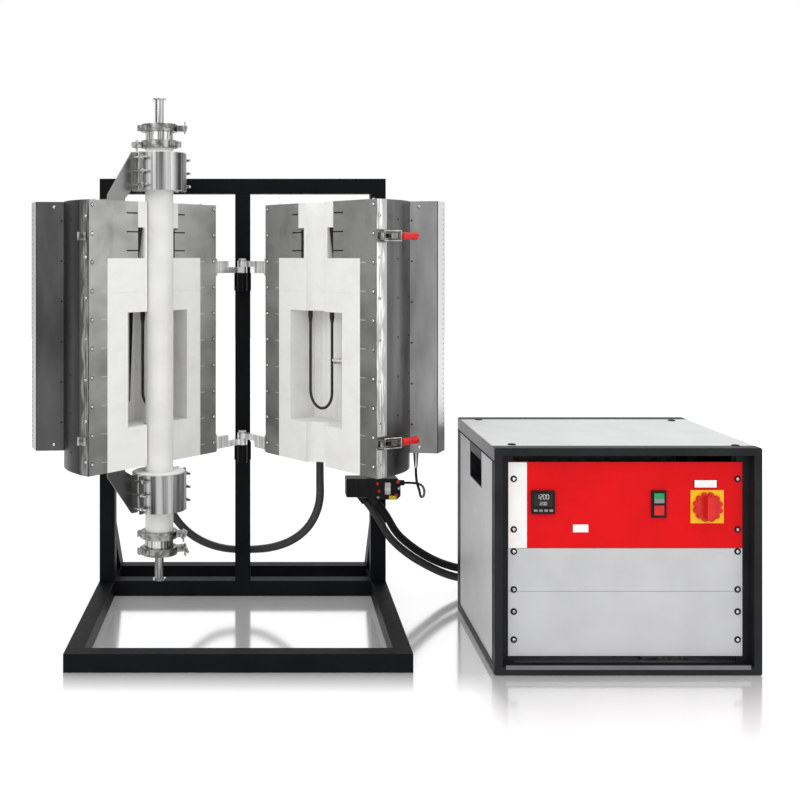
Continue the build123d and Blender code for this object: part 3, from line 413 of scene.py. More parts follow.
def oxidisedElement(name):
    # heating element: charcoal oxide skin with lighter scale
    material, tree, place = startMaterial(name)
    scale = noiseAt(tree, place, 1.8, 5)
    colour = mottled(tree, scale, 0.4, 0.7, "#141313", "#3A3735")
    surface(tree, {"Base Color": colour, "Roughness": 0.6, "Metallic": 0.3}, scale, 0.4, 0.15, 0.3)
    return material


finishRows = (
    (paintedMetal, {
        "blackPowderCoat": ("#07090B", "#0B0D0F", 0.5, 0.08),
        "charcoalAnodised": ("#1B1C1E", "#222325", 0.45, 0.12),
        "palePowderCoat": ("#CDCECE", "#C6C7C7", 0.45, 0.3),
        "greyPowderCoat": ("#BEBFC0", "#B8B9BA", 0.45, 0.3),
        "redPowderCoat": ("#D80D14", "#D00C12", 0.45, 0.1),
        "whitePowderCoat": ("#EDEDEC", "#E6E6E5", 0.4),
        "laminationSteel": ("#4A4A4C", "#55555A", 0.6),
        "railGrey": ("#6E6F70", "#66676A", 0.4, 0.3),
    }),
    (plateSteel, {
        # one stainless under different painted light: the left plate lighter with its folded edge in painted shade, the
        # right darker with a bright painted fold
        "leftPlateSteel": ("left", "#8E8E8D", "#BFBFBE", "#848483", "#4E4E4E", "#8E8E8E"),
        "rightPlateSteel": ("right", "#7A7A79", "#9E9E9D", "#727271", "#ACACAC", "#F0F0F0"),
    }),
    (brushedMetal, {
        # one stainless: the left casing is a copy of the right one painted darker as painted shade
        "leftCasingSteel": ("#303030", "#202020", 0.36, "#1A1A1A"),
        "rightCasingSteel": ("#747474", "#5A5A5A", 0.36, "#464646"),
    }),
    (coverSteel, {
        # the left cover is a copy of the right one painted darker as painted shade, its flanks too
        "leftCoverSteel": ("left", "#565656", "#404040", "#A8A8A8"),
        "rightCoverSteel": ("right", "#8E8E8E", "#6C6C6C", "#D6D6D6"),
    }),
    (streakedSteel, {
        "collarSteel": ("#3C3C3C", "#AEAEAE", 0.3, 13, ("#6A6A6A", "#989898")),
        "armSteel": ("#B4B4B4", "#F2F2F2", 0.3, 6),
        "flangeSteel": ("#484848", "#CFCFCF", 0.2, 5),
    }),
    (turnedMetal, {
        "screwSteel": ("#DADAD6", "#9A9A96", 0.2),
        "zincPlatedSteel": ("#B4B4B0", "#7E7E7A", 0.26),
        "turnedSteel": ("#B4B4B2", "#9A9A98", 0.24),
        "castStainless": ("#9A9A98", "#5E5E5C", 0.24),
    }),
    (fibreBoard, {
        "fibreBoard": (),
    }),
    (sinteredAlumina, {
        "sinteredAlumina": (),
    }),
    (oxidisedElement, {
        "oxidisedElement": (),
    }),
    (moulded, {
        "blackMoulded": ("#0F1011", "#17181A", 0.45, 0.4, 0.7, 0.15),
        "greyMoulded": ("#8D8F90", "#7F8182", 0.5),
        "yellowMoulded": ("#F4BC14", "#EDB10C", 0.42),
        "redMoulded": ("#D3201C", "#C41A17", 0.3),
        "greenMoulded": ("#159A55", "#128A4B", 0.3),
        "blackRubber": ("#0E0F10", "#151617", 0.5, 0, 1.0, 0.15),
        "greyRubber": ("#343536", "#3D3E40", 0.5, 0, 1.0, 0.2),
        "hoseRubber": ("#2C2C2D", "#353536", 0.42, 0, 1.0, 0.4),
        "displayGlass": ("#050607", "#08090A", 0.12, 0),
        "shadowBlack": ("#0B0B0B", "#101010", 0.8, 0),
        "blankLabel": ("#F0EFEC", "#E9E8E4", 0.5, 0),
        "yellowTag": ("#E9C82B", "#DDBA22", 0.5, 0),
    }),
)
finishes = {name: maker(name, *values) for maker, rows in finishRows for name, values in rows.items()}

nodeFinish = {
    "base_frame": "blackPowderCoat", "upright_frame": "blackPowderCoat", "hinge_brackets": "blackPowderCoat",
    "hinge_pins": "zincPlatedSteel", "connector_box": "blackMoulded", "connector_plugs": "blackMoulded",
    "cable_fittings": "blackMoulded", "cabinet_frames": "charcoalAnodised", "cabinet_panels": "palePowderCoat",
    "side_handles": "blackMoulded", "control_panel": "redPowderCoat", "blank_panels": "greyPowderCoat",
    "controller": "blackMoulded", "switch_body": "blackMoulded", "isolator_plate": "yellowMoulded",
    "isolator_knob": "redMoulded", "green_button": "greenMoulded", "red_button": "redMoulded",
    "key_page": "greyMoulded", "key_scroll": "greyMoulded", "key_down": "greyMoulded", "key_up": "greyMoulded",
    "transformer": "laminationSteel", "power_controller": "castStainless", "work_tube": "sinteredAlumina",
    "collar_backs": "collarSteel", "collar_fronts": "collarSteel", "collar_fibre": "fibreBoard",
    "collar_bolts": "screwSteel", "end_flanges": "flangeSteel", "chain_clamps": "castStainless",
    "latch_bases": "castStainless", "latch_keepers": "zincPlatedSteel", "thermocouple": "turnedSteel",
    "latch_lever_lower": "castStainless", "latch_lever_upper": "castStainless",
    "latch_hook_lower": "zincPlatedSteel", "latch_hook_upper": "zincPlatedSteel",
}
for clamp in ("upper_outer", "upper_inner", "lower_inner", "lower_outer"):
    nodeFinish["wing_nut_" + clamp] = "zincPlatedSteel"
for side in ("left", "right"):
    nodeFinish.update({side + "_face_plates": side + "PlateSteel", side + "_casing": side + "CasingSteel",
                       side + "_rear_cover": side + "CoverSteel", side + "_insulation": "fibreBoard",
                       side + "_element": "oxidisedElement", side + "_hinge_arms": "armSteel"})
for name, finish in nodeFinish.items():
    mesh = nodes[name].data
    mesh.materials.clear()
    mesh.materials.append(finishes[finish])
print("materials ready:", len(finishes))

# hoses and leads

rightExit = halfPoint("right", 160, 118, 362) / mm
leftExit = halfPoint("left", 160, 118, 362) / mm
clipPlace = (0, 32, 104)
leadExit = halfPoint("right", 444, 168, 380) / mm
greyExit = Vector((301, -34, 252)) + Vector((0.62, 0, -0.785)) * 12
blackExit = Vector((327, -50, 252)) + Vector((0.62, 0, -0.785)) * 12
hoseRoutes = {
    "link_hose_right": {
        "radius": 10, "length": 0.412, "finish": "hoseRubber", "rib": 3.4, "swing": "right_half", "end": "object",
        "points": [rightExit, (rightExit[0], rightExit[1], 312), (191, -106, 262), (180, -80, 214), (157, -52, 172),
                   (121, -22, 138), (76, 8, 115), (28, 32, 104), clipPlace]},
    "link_hose_left": {
        "radius": 10, "length": 0.406, "finish": "hoseRubber", "rib": 3.4, "swing": "left_half", "end": "object",
        "points": [clipPlace, (-30, 32, 104), (-76, 28, 114), (-118, 8, 138), (-152, -22, 174), (-176, -56, 218),
                   (-189, -88, 266), (leftExit[0], leftExit[1], 314), leftExit]},
    "sensor_lead": {
        "radius": 3, "length": 0.367, "finish": "blackRubber", "rib": 0, "swing": "right_half", "end": "object",
        "points": [leadExit, (leadExit[0], leadExit[1], 352), (leadExit[0] + 12, -304, 322), (414, -262, 300),
                   (428, -210, 290), (438, -156, 287), (443, -118, 288), (444, -84, 289), (441, -57, 289),
                   (426, -39, 289), (404, -39, 289)]},
    "conduit_grey": {
        "radius": 10, "length": 0.569, "finish": "greyRubber", "rib": 3.4, "swing": None, "end": "object",
        "points": [greyExit, greyExit + Vector((0.62, 0, -0.785)) * 42, (361, -34, 158), (393, -30, 125),
                   (431, -18, 95), (470, -2, 70), (513, 17, 46), (558, 32, 30), (605, 38.1, 25), (646.6, 20.9, 28),
                   (678.4, -10.9, 38), (695.6, -52.5, 50), (695.6, -97, 50)]},
    "conduit_black": {
        "radius": 10, "length": 0.562, "finish": "blackRubber", "rib": 3.4, "swing": None, "end": "object",
        "points": [blackExit, blackExit + Vector((0.62, 0, -0.785)) * 36, (381, -47, 167), (415, -38, 135),
                   (453, -22, 106), (494, -1, 81), (538, 19, 62), (584, 33, 51), (636, 38.1, 52), (677.6, 20.9, 62),
                   (709.4, -10.9, 72), (726.6, -52.5, 82), (726.6, -97, 82)]},
}


def finishedMesh(piece):
    return bpy.data.meshes.new_from_object(piece.evaluated_get(bpy.context.evaluated_depsgraph_get()))


def splinePath(name, points, fineness=10):
    # the smooth line through a hose, as points along it
    data = bpy.data.curves.new(name + "Route", "CURVE")
    data.dimensions = "3D"
    data.resolution_u = fineness
    spline = data.splines.new("NURBS")
    spline.points.add(len(points) - 1)
    for knot, point in zip(spline.points, points):
        knot.co = (*point, 1)
    spline.order_u = 3
    spline.use_endpoint_u = True
    route = bpy.data.objects.new(name + "Route", data)
    scene.collection.objects.link(route)
    line = finishedMesh(route)
    path = [vertex.co.copy() for vertex in line.vertices]
    bpy.data.objects.remove(route)
    bpy.data.meshes.remove(line)
    return path


def spaced(path, step):
    # the same line with its points an even step apart
    lengths = [0.0]
    for first, second in zip(path, path[1:]):
        lengths.append(lengths[-1] + (second - first).length)
    count = max(2, round(lengths[-1] / step))
    result, index = [], 0
    for number in range(count + 1):
        wanted = lengths[-1] * number / count
        while index < len(path) - 2 and lengths[index + 1] < wanted:
            index += 1
        share = (wanted - lengths[index]) / max(1e-9, lengths[index + 1] - lengths[index])
        result.append(path[index].lerp(path[index + 1], min(1.0, share)))
    return result


def addPiece(name, data, finish, body, smooth=False):
    if finish:
        data.materials.clear()
        data.materials.append(finishes[finish])
    if smooth:
        data.shade_smooth()
    piece = bpy.data.objects.new(name, data)
    scene.collection.objects.link(piece)
    if body:
        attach(piece, body)
    return piece


def meshFrom(name, shape):
    data = bpy.data.meshes.new(name)
    shape.to_mesh(data)
    shape.free()
    return data


def tubeMesh(name, path, radii, sides=18):
    # a closed tube with one radius for each point of its path
    shape = bmesh.new()
    forward = (path[1] - path[0]).normalized()
    across = forward.orthogonal().normalized()
    rings = []
    for index, point in enumerate(path):
        after = path[min(index + 1, len(path) - 1)] - path[max(index - 1, 0)]
        turned = after.normalized()
        across = (forward.rotation_difference(turned) @ across).normalized()
        forward = turned
        up = forward.cross(across)
        rings.append([shape.verts.new(point + (across * math.cos(a) + up * math.sin(a)) * radii[index])
                      for a in (2 * math.pi * n / sides for n in range(sides))])
    for first, second in zip(rings, rings[1:]):
        for n in range(sides):
            shape.faces.new((first[n], first[(n + 1) % sides], second[(n + 1) % sides], second[n]))
    shape.faces.new(reversed(rings[0]))
    shape.faces.new(rings[-1])
    return meshFrom(name, shape)


def makeHoses():
    for name, hose in hoseRoutes.items():
        points = [Vector(p) * mm for p in hose["points"]]
        path = splinePath(name, points)
        radius = hose["radius"] * mm
        step = hose["rib"] * mm / 4 if hose["rib"] else 2.5 * mm
        path = spaced(path, step)
        rib = 0.07 * radius if hose["rib"] else 0
        radii = [radius - rib * (1 - math.cos(math.pi * n / 2)) for n in range(len(path))]
        piece = addPiece(name + "_tube", tubeMesh(name + "_tube", path, radii), hose["finish"], None, True)
        if hose["swing"]:
            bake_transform(piece)
        else:
            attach(piece, "stand")
        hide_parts(name)


makeHoses()
print("hoses ready")

# small shapes and rows of them


def latheMesh(name, profile, sides=16):
    # a turned shape round Z; profile is (radius, height) in millimetres, from its base centre to its top centre
    shape = bmesh.new()
    rings = []
    for radius, height in profile:
        if radius == 0:
            rings.append([shape.verts.new((0, 0, height * mm))])
        else:
            rings.append([shape.verts.new((radius * mm * math.cos(a), radius * mm * math.sin(a), height * mm))
                          for a in (2 * math.pi * n / sides for n in range(sides))])
    for first, second in zip(rings, rings[1:]):
        for n in range(sides):
            after = (n + 1) % sides
            if len(first) == 1:
                shape.faces.new((first[0], second[after], second[n]))
            elif len(second) == 1:
                shape.faces.new((first[n], first[after], second[0]))
            else:
                shape.faces.new((first[n], first[after], second[after], second[n]))
    bmesh.ops.recalc_face_normals(shape, faces=shape.faces)
    return meshFrom(name, shape)


def blockMesh(name, size, bevel=0.0, segments=2):
    # a block with rounded edges, centred, in millimetres
    shape = bmesh.new()
    bmesh.ops.create_cube(shape, size=1)
    bmesh.ops.scale(shape, vec=Vector(size) * mm, verts=shape.verts)
    if bevel:
        bmesh.ops.bevel(shape, geom=shape.edges, offset=bevel * mm, segments=segments, profile=0.5, affect="EDGES")
    return meshFrom(name, shape)


def moved(data, place, facing=None, spin=0.0):
    # turns a shape's Z towards facing and puts it at place, both in the scene
    turn = Matrix.Identity(4)
    if facing is not None:
        turn = Vector(facing).to_track_quat("Z", "Y").to_matrix().to_4x4()
    data.transform(Matrix.Translation(place) @ turn @ Matrix.Rotation(spin, 4, "Z"))
    return data


def joined(name, meshes):
    shape = bmesh.new()
    for mesh in meshes:
        shape.from_mesh(mesh)
        bpy.data.meshes.remove(mesh)
    return meshFrom(name, shape)


rowInputs = {"Shape": "NodeSocketObject", "Rows": "NodeSocketInt", "Columns": "NodeSocketInt",
             "First": "NodeSocketVector", "Row Step": "NodeSocketVector", "Column Step": "NodeSocketVector",
             "Stagger": "NodeSocketVector", "Turn": "NodeSocketVector", "Finish": "NodeSocketMaterial"}


def makeRowTree():
    # rows and columns of one shape; every second row is moved by Stagger
    tree = bpy.data.node_groups.new("partRows", "GeometryNodeTree")
    for label, kind in rowInputs.items():
        tree.interface.new_socket(label, in_out="INPUT", socket_type=kind)
    tree.interface.new_socket("Geometry", in_out="OUTPUT", socket_type="NodeSocketGeometry")
    given = addNode(tree, "NodeGroupInput").outputs
    count = calculate(tree, "MULTIPLY", given["Rows"], given["Columns"])
    points = addNode(tree, "GeometryNodePoints", {"Count": count})
    index = addNode(tree, "GeometryNodeInputIndex").outputs[0]
    middle = calculate(tree, "ADD", index, 0.5)
    share = calculate(tree, "DIVIDE", middle, given["Columns"])
    row = calculate(tree, "FLOOR", share)
    column = calculate(tree, "MODULO", index, given["Columns"])
    odd = calculate(tree, "MODULO", row, 2.0)
    place = given["First"]
    for step, times in ((given["Row Step"], row), (given["Column Step"], column), (given["Stagger"], odd)):
        scaled = addNode(tree, "ShaderNodeVectorMath", {0: step, "Scale": times}, operation="SCALE").outputs[0]
        place = addNode(tree, "ShaderNodeVectorMath", {0: place, 1: scaled}, operation="ADD").outputs[0]
    placed = addNode(tree, "GeometryNodeSetPosition", {"Geometry": points.outputs[0], "Position": place})
    shape = addNode(tree, "GeometryNodeObjectInfo", {"Object": given["Shape"]})
    copies = addNode(tree, "GeometryNodeInstanceOnPoints", {"Points": placed.outputs[0], "Rotation": given["Turn"],
                                                            "Instance": shape.outputs["Geometry"]})
    real = addNode(tree, "GeometryNodeRealizeInstances", {"Geometry": copies.outputs[0]})
    painted = addNode(tree, "GeometryNodeSetMaterial", {"Geometry": real.outputs[0], "Material": given["Finish"]})
    addNode(tree, "NodeGroupOutput", {"Geometry": painted.outputs[0]})
    return tree


rowTree = makeRowTree()
rowKeys = {item.name: item.identifier for item in rowTree.interface.items_tree if item.in_out == "INPUT"}
shapeStore = {}


def keepShape(name, data):
    shapeStore[name] = bpy.data.objects.new(name, data)
    scene.collection.objects.link(shapeStore[name])


def addRows(name, shape, finish, body, first, facing, rows=1, rowStep=(0, 0, 0), columns=1, columnStep=(0, 0, 0),
            stagger=(0, 0, 0), spin=0.0, smooth=False):
    maker = bpy.data.objects.new(name + "Maker", bpy.data.meshes.new(name + "Maker"))
    scene.collection.objects.link(maker)
    modifier = maker.modifiers.new("rows", "NODES")
    modifier.node_group = rowTree
    turn = Vector(facing).to_track_quat("Z", "Y") @ Quaternion((0, 0, 1), spin)
    values = {"Shape": shapeStore[shape], "Rows": rows, "Columns": columns, "First": Vector(first),
              "Row Step": Vector(rowStep), "Column Step": Vector(columnStep), "Stagger": Vector(stagger),
              "Turn": Vector(turn.to_euler()), "Finish": finishes[finish]}
    for label, value in values.items():
        modifier[rowKeys[label]] = value
    bpy.context.view_layer.update()
    data = finishedMesh(maker)
    data.name = name
    bpy.data.objects.remove(maker)
    return addPiece(name, data, None, body, smooth)


keepShape("panHead", latheMesh("panHead", [(0, -0.5), (3.9, -0.5), (3.9, 0.6), (3.4, 1.9), (2.2, 2.7), (1.2, 2.9),
                                          (1.0, 1.6), (0, 1.6)], 12))
keepShape("rivetHead", latheMesh("rivetHead", [(0, -0.3), (2.2, -0.3), (2.2, 0.2), (1.4, 0.9), (0, 1.1)], 10))
keepShape("ventHole", latheMesh("ventHole", [(0, -0.4), (1.7, -0.4), (1.7, 0.15), (0, 0.15)], 8))
keepShape("coverCap", latheMesh("coverCap", [(0, -1), (8.5, -1), (8.5, 1.2), (7.6, 2.2), (3, 2.9), (0, 3.0)], 18))
keepShape("shortSlit", blockMesh("shortSlit", (24, 2.9, 0.6)))
keepShape("wideSlit", blockMesh("wideSlit", (35, 2.9, 0.6)))
keepShape("longSlit", blockMesh("longSlit", (41, 2.9, 0.6)))
keepShape("washer", latheMesh("washer", [(0, -0.2), (4.9, -0.2), (4.9, 0.35), (0, 0.35)], 14))
keepShape("cupRing", latheMesh("cupRing", [(0, -0.2), (7.0, -0.2), (7.0, 0.6), (6.2, 1.0), (0, 1.0)], 16))

# furnace halves

plateSet = {"near": 94, "far": 500, "screwLow": 406.3, "screwPitch": 62.3,
            "screwInset": (8, 11), "sideScrews": 7, "sideTop": 942, "sidePitch": 88.4, "sideDepth": 11}
coverSet = {"middle": 297, "root": (446, 143), "edge": (491, 190), "back": (468, 234), "low": 434, "ventPitch": 11.2,
            "vents": 48, "casingRadius": 201}
slitSet = {"far": (370.5, "wideSlit"),
           "rows": ((868, 221.5, "longSlit"), (910, 221.5, "longSlit"), (952, 213, "shortSlit"))}


def makeHalfDetails(side):
    body = side + "_half"
    face = halfDirection(side, 0, -1)
    outward = halfDirection(side, 1, 0)
    up = Vector((0, 0, 1))
    pitch = plateSet["screwPitch"] * mm
    low = plateSet["screwLow"]
    near, far = plateSet["near"] + plateSet["screwInset"][0], plateSet["far"] - plateSet["screwInset"][1]
    # each face screw sits on a dark disc of painted shadow
    for shape, finish, name in (("panHead", "screwSteel", "_face_screws"), ("washer", "shadowBlack", "_face_washers")):
        addRows(side + name, shape, finish, body, halfPoint(side, near, 3, low), face,
                10, up * pitch, 2, halfPoint(side, far, 3, 0) - halfPoint(side, near, 3, 0))
    sides = ((plateSet["far"], outward, "outer"), (plateSet["near"], -outward, "inner"))
    for along, facing, name in sides:
        addRows(side + "_" + name + "_screws", "panHead", "screwSteel", body,
                halfPoint(side, along, plateSet["sideDepth"], plateSet["sideTop"]), facing,
                plateSet["sideScrews"], -up * plateSet["sidePitch"] * mm)
    # dark blocks of painted shade fill the slits in the neck plates
    for height, along, shape in slitSet["rows"]:
        name = side + "_neck_slit_" + str(height)
        addRows(name + "_near", shape, "shadowBlack", body, halfPoint(side, along, 4.4, height), face)
        addRows(name + "_far", slitSet["far"][1], "shadowBlack", body,
                halfPoint(side, slitSet["far"][0], 4.4, height), face)
    middle = coverSet["middle"]
    centre = halfPoint(side, middle, 120, 0)
    for sign, name in ((1, "far"), (-1, "near")):
        root, edge, back = (halfPoint(side, middle + sign * (coverSet[key][0] - middle), coverSet[key][1], 0)
                            for key in ("root", "edge", "back"))
        flank, wing = back - edge, edge - root
        outFlank, outWing = flank.cross(up).normalized(), wing.cross(up).normalized()
        if (edge - centre).dot(outFlank) < 0:
            outFlank = -outFlank
        if outWing.dot(face) < 0:
            outWing = -outWing
        # one line of vent holes down each flank, screws along each root and one near the top of each wing
        addRows(side + "_" + name + "_vents", "ventHole", "shadowBlack", body,
                edge + flank * 0.78 + up * coverSet["low"] * mm, outFlank, coverSet["vents"],
                up * coverSet["ventPitch"] * mm)
        addRows(side + "_" + name + "_cover_screws", "rivetHead", "shadowBlack", body,
                root + wing.normalized() * 8 * mm + up * 480 * mm, outWing, 6, up * 91 * mm)
        addRows(side + "_" + name + "_cover_top_screw", "panHead", "screwSteel", body,
                root + wing * 0.37 + up * 966 * mm, outWing, 2, -up * 536 * mm)
    # rivets of the straps that hold the casing's skin
    for angle in (18, 38):
        turn = math.radians(angle)
        place = (middle + coverSet["casingRadius"] * math.cos(turn), 12 + coverSet["casingRadius"] * math.sin(turn))
        facing = halfDirection(side, math.cos(turn), math.sin(turn))
        addRows(side + "_casing_rivets_" + str(angle), "rivetHead", "shadowBlack", body,
                halfPoint(side, place[0], place[1], 425), facing, 7, up * 85 * mm)
    # small screws of the end plate
    addRows(side + "_end_plate_screws", "panHead", "screwSteel", body, halfPoint(side, 130, 20, 978), up, 2,
            halfPoint(side, 470, 20, 0) - halfPoint(side, 130, 20, 0))


def halfPrism(name, side, outline, low, high, finish):
    # an upright prism in a half's own frame; outline is (along, behind) for the foot, then for the head
    shape = bmesh.new()
    foot, head = outline
    rings = [[shape.verts.new(halfPoint(side, *spot, level)) for spot in spots]
             for spots, level in ((foot, low), (head, high))]
    count = len(foot)
    for n in range(count):
        after = (n + 1) % count
        shape.faces.new((rings[0][n], rings[0][after], rings[1][after], rings[1][n]))
    shape.faces.new(rings[0][::-1])
    shape.faces.new(rings[1])
    bmesh.ops.recalc_face_normals(shape, faces=shape.faces)
    return addPiece(name, meshFrom(name, shape), finish, side + "_half")


# painted shade: dark blocks in the gaps; where each starts and ends along the face at its foot and at its head, how
# deep it lies, and its levels
gapSet = {"near": {"foot": (236.5, 242.2), "head": (236.5, 242.2), "depth": (2.6, 3.2), "levels": (851.4, 915.6)},
          "far": {"foot": (348.5, 352.8), "head": (337, 352.8), "depth": (5.2, 6.4), "levels": (851.4, 919.5)},
          "cornerShade": {"foot": (311, 340), "head": (301.5, 340), "depth": (73.2, 74.6), "levels": (520, 728)}}


def makeGap(name, side, gap):
    front, rear = gap["depth"]
    outline = [[(first, front), (last, front), (last, rear), (first, rear)]
               for first, last in (gap["foot"], gap["head"])]
    halfPrism(name, side, outline, *gap["levels"], "shadowBlack")


def makeNeckGaps(side):
    # painted shade beside the neck's fibre block
    for name in ("near", "far"):
        makeGap(side + "_neck_gap_" + name, side, gapSet[name])


fluteSet = {"first": 208, "count": 10, "radius": 9, "length": 250, "depth": 82, "low": 477}
stapleSet = {"along": (292, 384), "front": 42, "wall": 74.5, "height": 618, "bar": 3.0, "leg": 2.6}


def makeChamberDetails():
    # a dark wedge of painted shade at the end of the left chamber's back, and the shallow flutes of both backs
    makeGap("left_chamber_joint", "left", gapSet["cornerShade"])
    radius, length = fluteSet["radius"], fluteSet["length"]
    for side in ("left", "right"):
        flutes = []
        for number in range(fluteSet["count"]):
            flute = latheMesh("flute", [(0, 0), (radius, 0), (radius, length), (0, length)], 24)
            place = halfPoint(side, fluteSet["first"] + number * 2 * radius, fluteSet["depth"], fluteSet["low"])
            flutes.append(moved(flute, place, (0, 0, 1)))
        addPiece(side + "_chamber_flutes", joined(side + "_chamber_flutes", flutes), "fibreBoard", side + "_half")


for side in ("left", "right"):
    makeHalfDetails(side)
    makeNeckGaps(side)


def makeStaple():
    # ceramic staple that keeps a leg of the element off the back wall
    pieces = []
    (inner, outer), front = stapleSet["along"], stapleSet["front"]
    for start, end, radius in (((inner, front), (outer, front), stapleSet["bar"]),
                               ((inner, front), (inner, stapleSet["wall"]), stapleSet["leg"])):
        first, last = (halfPoint("right", *spot, stapleSet["height"]) for spot in (start, end))
        length = (last - first).length / mm
        bar = latheMesh("stapleBar", [(0, 0), (radius, 0), (radius, length), (0, length)], 12)
        pieces.append(moved(bar, first, last - first))
    addPiece("right_element_staple", joined("right_element_staple", pieces), "sinteredAlumina", "right_half")


makeStaple()
makeChamberDetails()


def makeLatch(name, height):
    # pressed lever, bent over the pivot, with a moulded red grip
    out = halfDirection("right", 1, 0)
    back = halfDirection("right", 0, 1)
    up = Vector((0, 0, 1))
    frameTurn = Matrix((out, back, up)).transposed().to_4x4()
    parts = []
    # two cheeks, a bridge between them and a neck into the grip: width, length, height, then middle depth and rise
    for size, middle, rise, offset in (((5.6, 54, 1.5), 35.5, 5.6, 0), ((5.6, 54, 1.5), 35.5, -5.6, 0),
                                       ((1.5, 26, 10.4), 45, 0, 2.0), ((5.2, 12, 8), 58, 0, 0)):
        part = blockMesh("part", size, 0.5)
        part.transform(Matrix.Translation(halfPoint("right", 512 + offset, middle, height + rise)) @ frameTurn)
        parts.append(part)
    boss = moved(latheMesh("boss", [(0, -6.4), (4.2, -6.4), (4.6, -5.9), (4.6, 5.9), (4.2, 6.4), (0, 6.4)], 18),
                 halfPoint("right", 512, 8, height), up)
    parts.append(boss)
    lever = addPiece("latch_lever_" + name + "_strap", joined("strap", parts), "castStainless",
                     "latch_lever_" + name)
    profile = [(0, 0), (6.2, 0), (7.8, 1.4), (8.5, 5), (7.9, 15), (7.7, 24), (8.2, 34), (8.6, 41), (7.6, 45.4),
               (5.4, 47), (0, 47)]
    grip = moved(latheMesh("grip", profile, 22), halfPoint("right", 512, 63, height), back)
    addPiece("latch_lever_" + name + "_grip", grip, "redMoulded", "latch_lever_" + name, True)
    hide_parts("latch_lever_" + name)


makeLatch("lower", 457)
makeLatch("upper", 899)
print("furnace halves ready")

# clamps on the work tube

clampSet = {"upper_outer": (1147, 222), "upper_inner": (1110, 58), "lower_inner": (222, 232), "lower_outer": (185, 212)}


def makeClampLinks():
    # raised links round each chain clamp
    for name, (height, turn) in clampSet.items():
        links = []
        centre = halfPoint("left", tubeAxis, 0, height)
        for number in range(3):
            angle = math.radians(turn + 148 + number * 32)
            facing = halfDirection("left", math.cos(angle), math.sin(angle))
            link = blockMesh("link", (13.5, 19, 5), 1.6)
            turned = Matrix((Vector((0, 0, 1)), facing.cross(Vector((0, 0, 1))), facing)).transposed().to_4x4()
            if turned.determinant() < 0:
                turned = Matrix((Vector((0, 0, 1)), Vector((0, 0, 1)).cross(facing), facing)).transposed().to_4x4()
            link.transform(Matrix.Translation(centre + facing * 41.5 * mm) @ turned)
            links.append(link)
        addPiece("clamp_links_" + name, joined("clamp_links_" + name, links), "castStainless", "left_half")


makeClampLinks()
print("clamps ready")

# control cabinet

cabinet = {"front": -566, "height": 464, "panelFront": -544,
           "rackScrewX": (567.4, 1028.4), "rackScrewZ": (397, 293, 247.6, 169.3, 123.8, 66),
           "caps": ((568, -154), (569, -518), (1025, -171), (1029, -532))}
front = Vector((0, -1, 0))


def panelPiece(name, x0, x1, z0, z1, thick, finish, body="stand", bevel=0.3, lift=0.0):
    # a thin plate on the face of the rack panels
    data = blockMesh(name, (x1 - x0, thick, z1 - z0), bevel)
    data.transform(Matrix.Translation(Vector(((x0 + x1) / 2, cabinet["panelFront"] - lift - thick / 2 + 0.05,
                                              (z0 + z1) / 2)) * mm))
    return addPiece(name, data, finish, body)


def makeKnobCollar():
    # lobed skirt round the isolator's handle
    low, high = (Vector(corner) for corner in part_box("isolator_knob"))
    centre = Vector(((low.x + high.x) / 2, low.y + 24 * mm, (low.z + high.z) / 2))
    lobes = []
    for number in range(12):
        angle = math.radians(number * 30 + 15)
        lobe = latheMesh("lobe", [(0, 0), (5.4, 0), (5.6, 1.0), (5.6, 6.4), (5.0, 7.4), (0, 7.4)], 12)
        place = centre + Vector((math.cos(angle), 0, math.sin(angle))) * 25.5 * mm
        lobes.append(moved(lobe, place, front))
    addPiece("isolator_knob_lobes", joined("isolator_knob_lobes", lobes), "redMoulded", "isolator_knob", True)


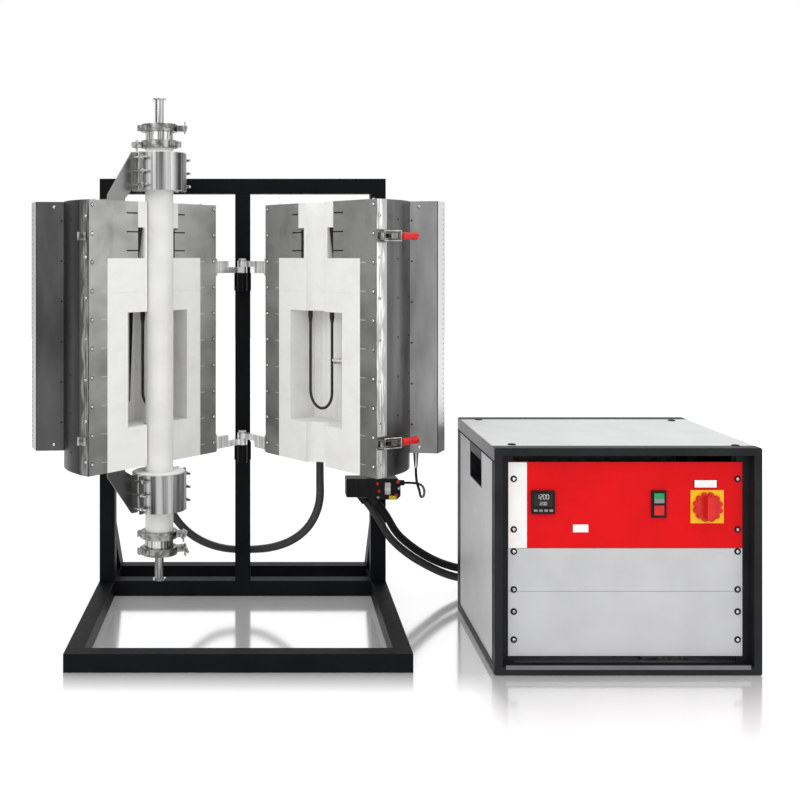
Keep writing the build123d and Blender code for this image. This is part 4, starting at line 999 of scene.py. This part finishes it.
def makeCabinetDetails():
    makeKnobCollar()
    for index, height in enumerate(cabinet["rackScrewZ"]):
        first, last = cabinet["rackScrewX"]
        for shape, finish, name, lift in (("cupRing", "blackMoulded", "rack_cups_", 0),
                                          ("panHead", "screwSteel", "rack_screws_", 0.8)):
            addRows(name + str(index), shape, finish, "stand",
                    Vector((first, cabinet["panelFront"] - lift, height)) * mm, front, 1, (0, 0, 0), 2,
                    Vector((last - first, 0, 0)) * mm)
    for index, (x, y) in enumerate(cabinet["caps"]):
        addRows("top_cap_" + str(index), "coverCap", "blackMoulded", "stand",
                Vector((x, y, cabinet["height"] - 1)) * mm, (0, 0, 1))
    panelPiece("panel_white_strip", 556.2, 594.5, 254.6, 431.4, 0.3, "whitePowderCoat", bevel=0)
    panelPiece("blank_label", 689.5, 721, 287, 303, 0.5, "blankLabel")
    # controller: dark window with two rows of figures
    panelPiece("controller_window", 607.5, 646.9, 340, 368, 0.4, "displayGlass", lift=4.6)
    # isolator: white label field over the yellow plate
    panelPiece("isolator_label_edge", 938.2, 986.7, 377.8, 395.8, 0.3, "blackMoulded")
    panelPiece("isolator_label", 939.7, 985.2, 379.2, 394.4, 0.3, "blankLabel", lift=0.3)
    # dark rails along the left side, a strip of painted shade under the top rail, and the pressed lip of the lower rail
    for name, low, high, finish in (("top_rail", 437, 463, "railGrey"), ("top_rail_gap", 433, 437, "shadowBlack"),
                                    ("bottom_rail", 1, 19, "charcoalAnodised")):
        rail = blockMesh(name, (1.0, 440, high - low), 0.3)
        moved(rail, Vector((523.9, -342, (low + high) / 2)) * mm)
        addPiece("cabinet_" + name, rail, finish, "stand")
    lip = blockMesh("lip", (500, 0.6, 9), 0.25)
    moved(lip, Vector((797, cabinet["front"], 16)) * mm)
    addPiece("cabinet_rail_lip", lip, "railGrey", "stand")
    # grey lens between the two buttons
    low, high = (Vector(corner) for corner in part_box("green_button"))
    lens = blockMesh("lens", ((high.x - low.x) / mm, 0.5, 9), 0.2)
    moved(lens, ((low.x + high.x) / 2, low.y - 0.2 * mm, low.z + 4.6 * mm))
    addPiece("switch_lens", lens, "greyMoulded", "green_button")


makeCabinetDetails()


digitBars = {"0": "abcdef", "1": "bc", "2": "abged", "5": "afgcd", "8": "abcdefg", "3": "abgcd", "7": "abc"}
barPlaces = {"a": (0, 1, 0), "b": (0.5, 0.5, 1), "c": (0.5, -0.5, 1), "d": (0, -1, 0), "e": (-0.5, -0.5, 1),
             "f": (-0.5, 0.5, 1), "g": (0, 0, 0)}


def makeFigures(name, text, x, z, height, finish):
    bars = []
    for index, figure in enumerate(text):
        for key in digitBars[figure]:
            across, up, upright = barPlaces[key]
            size = (height * 0.08, 0.3, height * 0.42) if upright else (height * 0.42, 0.3, height * 0.08)
            bar = blockMesh("bar", size)
            place = Vector((x + index * height * 0.75 + across * height * 0.5, cabinet["panelFront"] - 5.1,
                            z + up * height * 0.5)) * mm
            moved(bar, place)
            bars.append(bar)
    addPiece(name, joined(name, bars), finish, "stand")


def litSegments(name, colour):
    # lit display segment: plain glow over dark glass
    material, tree, place = startMaterial(name)
    glow = noiseAt(tree, place, 3, 1)
    colour = mixColours(tree, spread(tree, glow, 0, 0.2), hexColour(colour), hexColour("#F4F4F4"))
    surface(tree, {"Base Color": colour, "Roughness": 0.5, "Emission Color": hexColour("#30100C"),
                   "Emission Strength": 1.0})
    return material


finishes["redSegments"] = litSegments("redSegments", "#E8E4E0")
makeFigures("controller_figures_top", "1200", 616, 361, 9, "redSegments")
makeFigures("controller_figures_low", "1200", 619, 347, 6, "redSegments")
print("control cabinet ready")

# connector box on the right post

plugSet = {"front": -64}


def makeConnectorDetails():
    capProfile = [(0, 0), (4.2, 0), (4.2, 5), (3.2, 7), (2, 7.4), (1.6, 6.4), (0, 6.4)]
    spots = ((334, 292, "redMoulded"), (338, 274, "redMoulded"), (336, 259, "zincPlatedSteel"),
             (384, 296, "redMoulded"), (387, 281, "zincPlatedSteel"), (381, 264, "redMoulded"))
    for index, (x, z, finish) in enumerate(spots):
        cap = moved(latheMesh("cap", capProfile, 14), Vector((x, plugSet["front"] + 0.2, z)) * mm, front)
        addPiece("connector_cap_" + str(index), cap, finish, "stand")
    latch = blockMesh("connector_latch", (15, 4, 30), 1.0)
    moved(latch, Vector((360, plugSet["front"] - 1.8, 280)) * mm)
    addPiece("connector_latch", latch, "zincPlatedSteel", "stand")
    tag = blockMesh("connector_tag", (19, 1.0, 9), 0.3)
    moved(tag, Vector((372, plugSet["front"] - 4.2, 258)) * mm)
    addPiece("connector_tag", tag, "yellowTag", "stand")


makeConnectorDetails()
print("connector box ready")

for shape in shapeStore.values():
    bpy.data.objects.remove(shape)
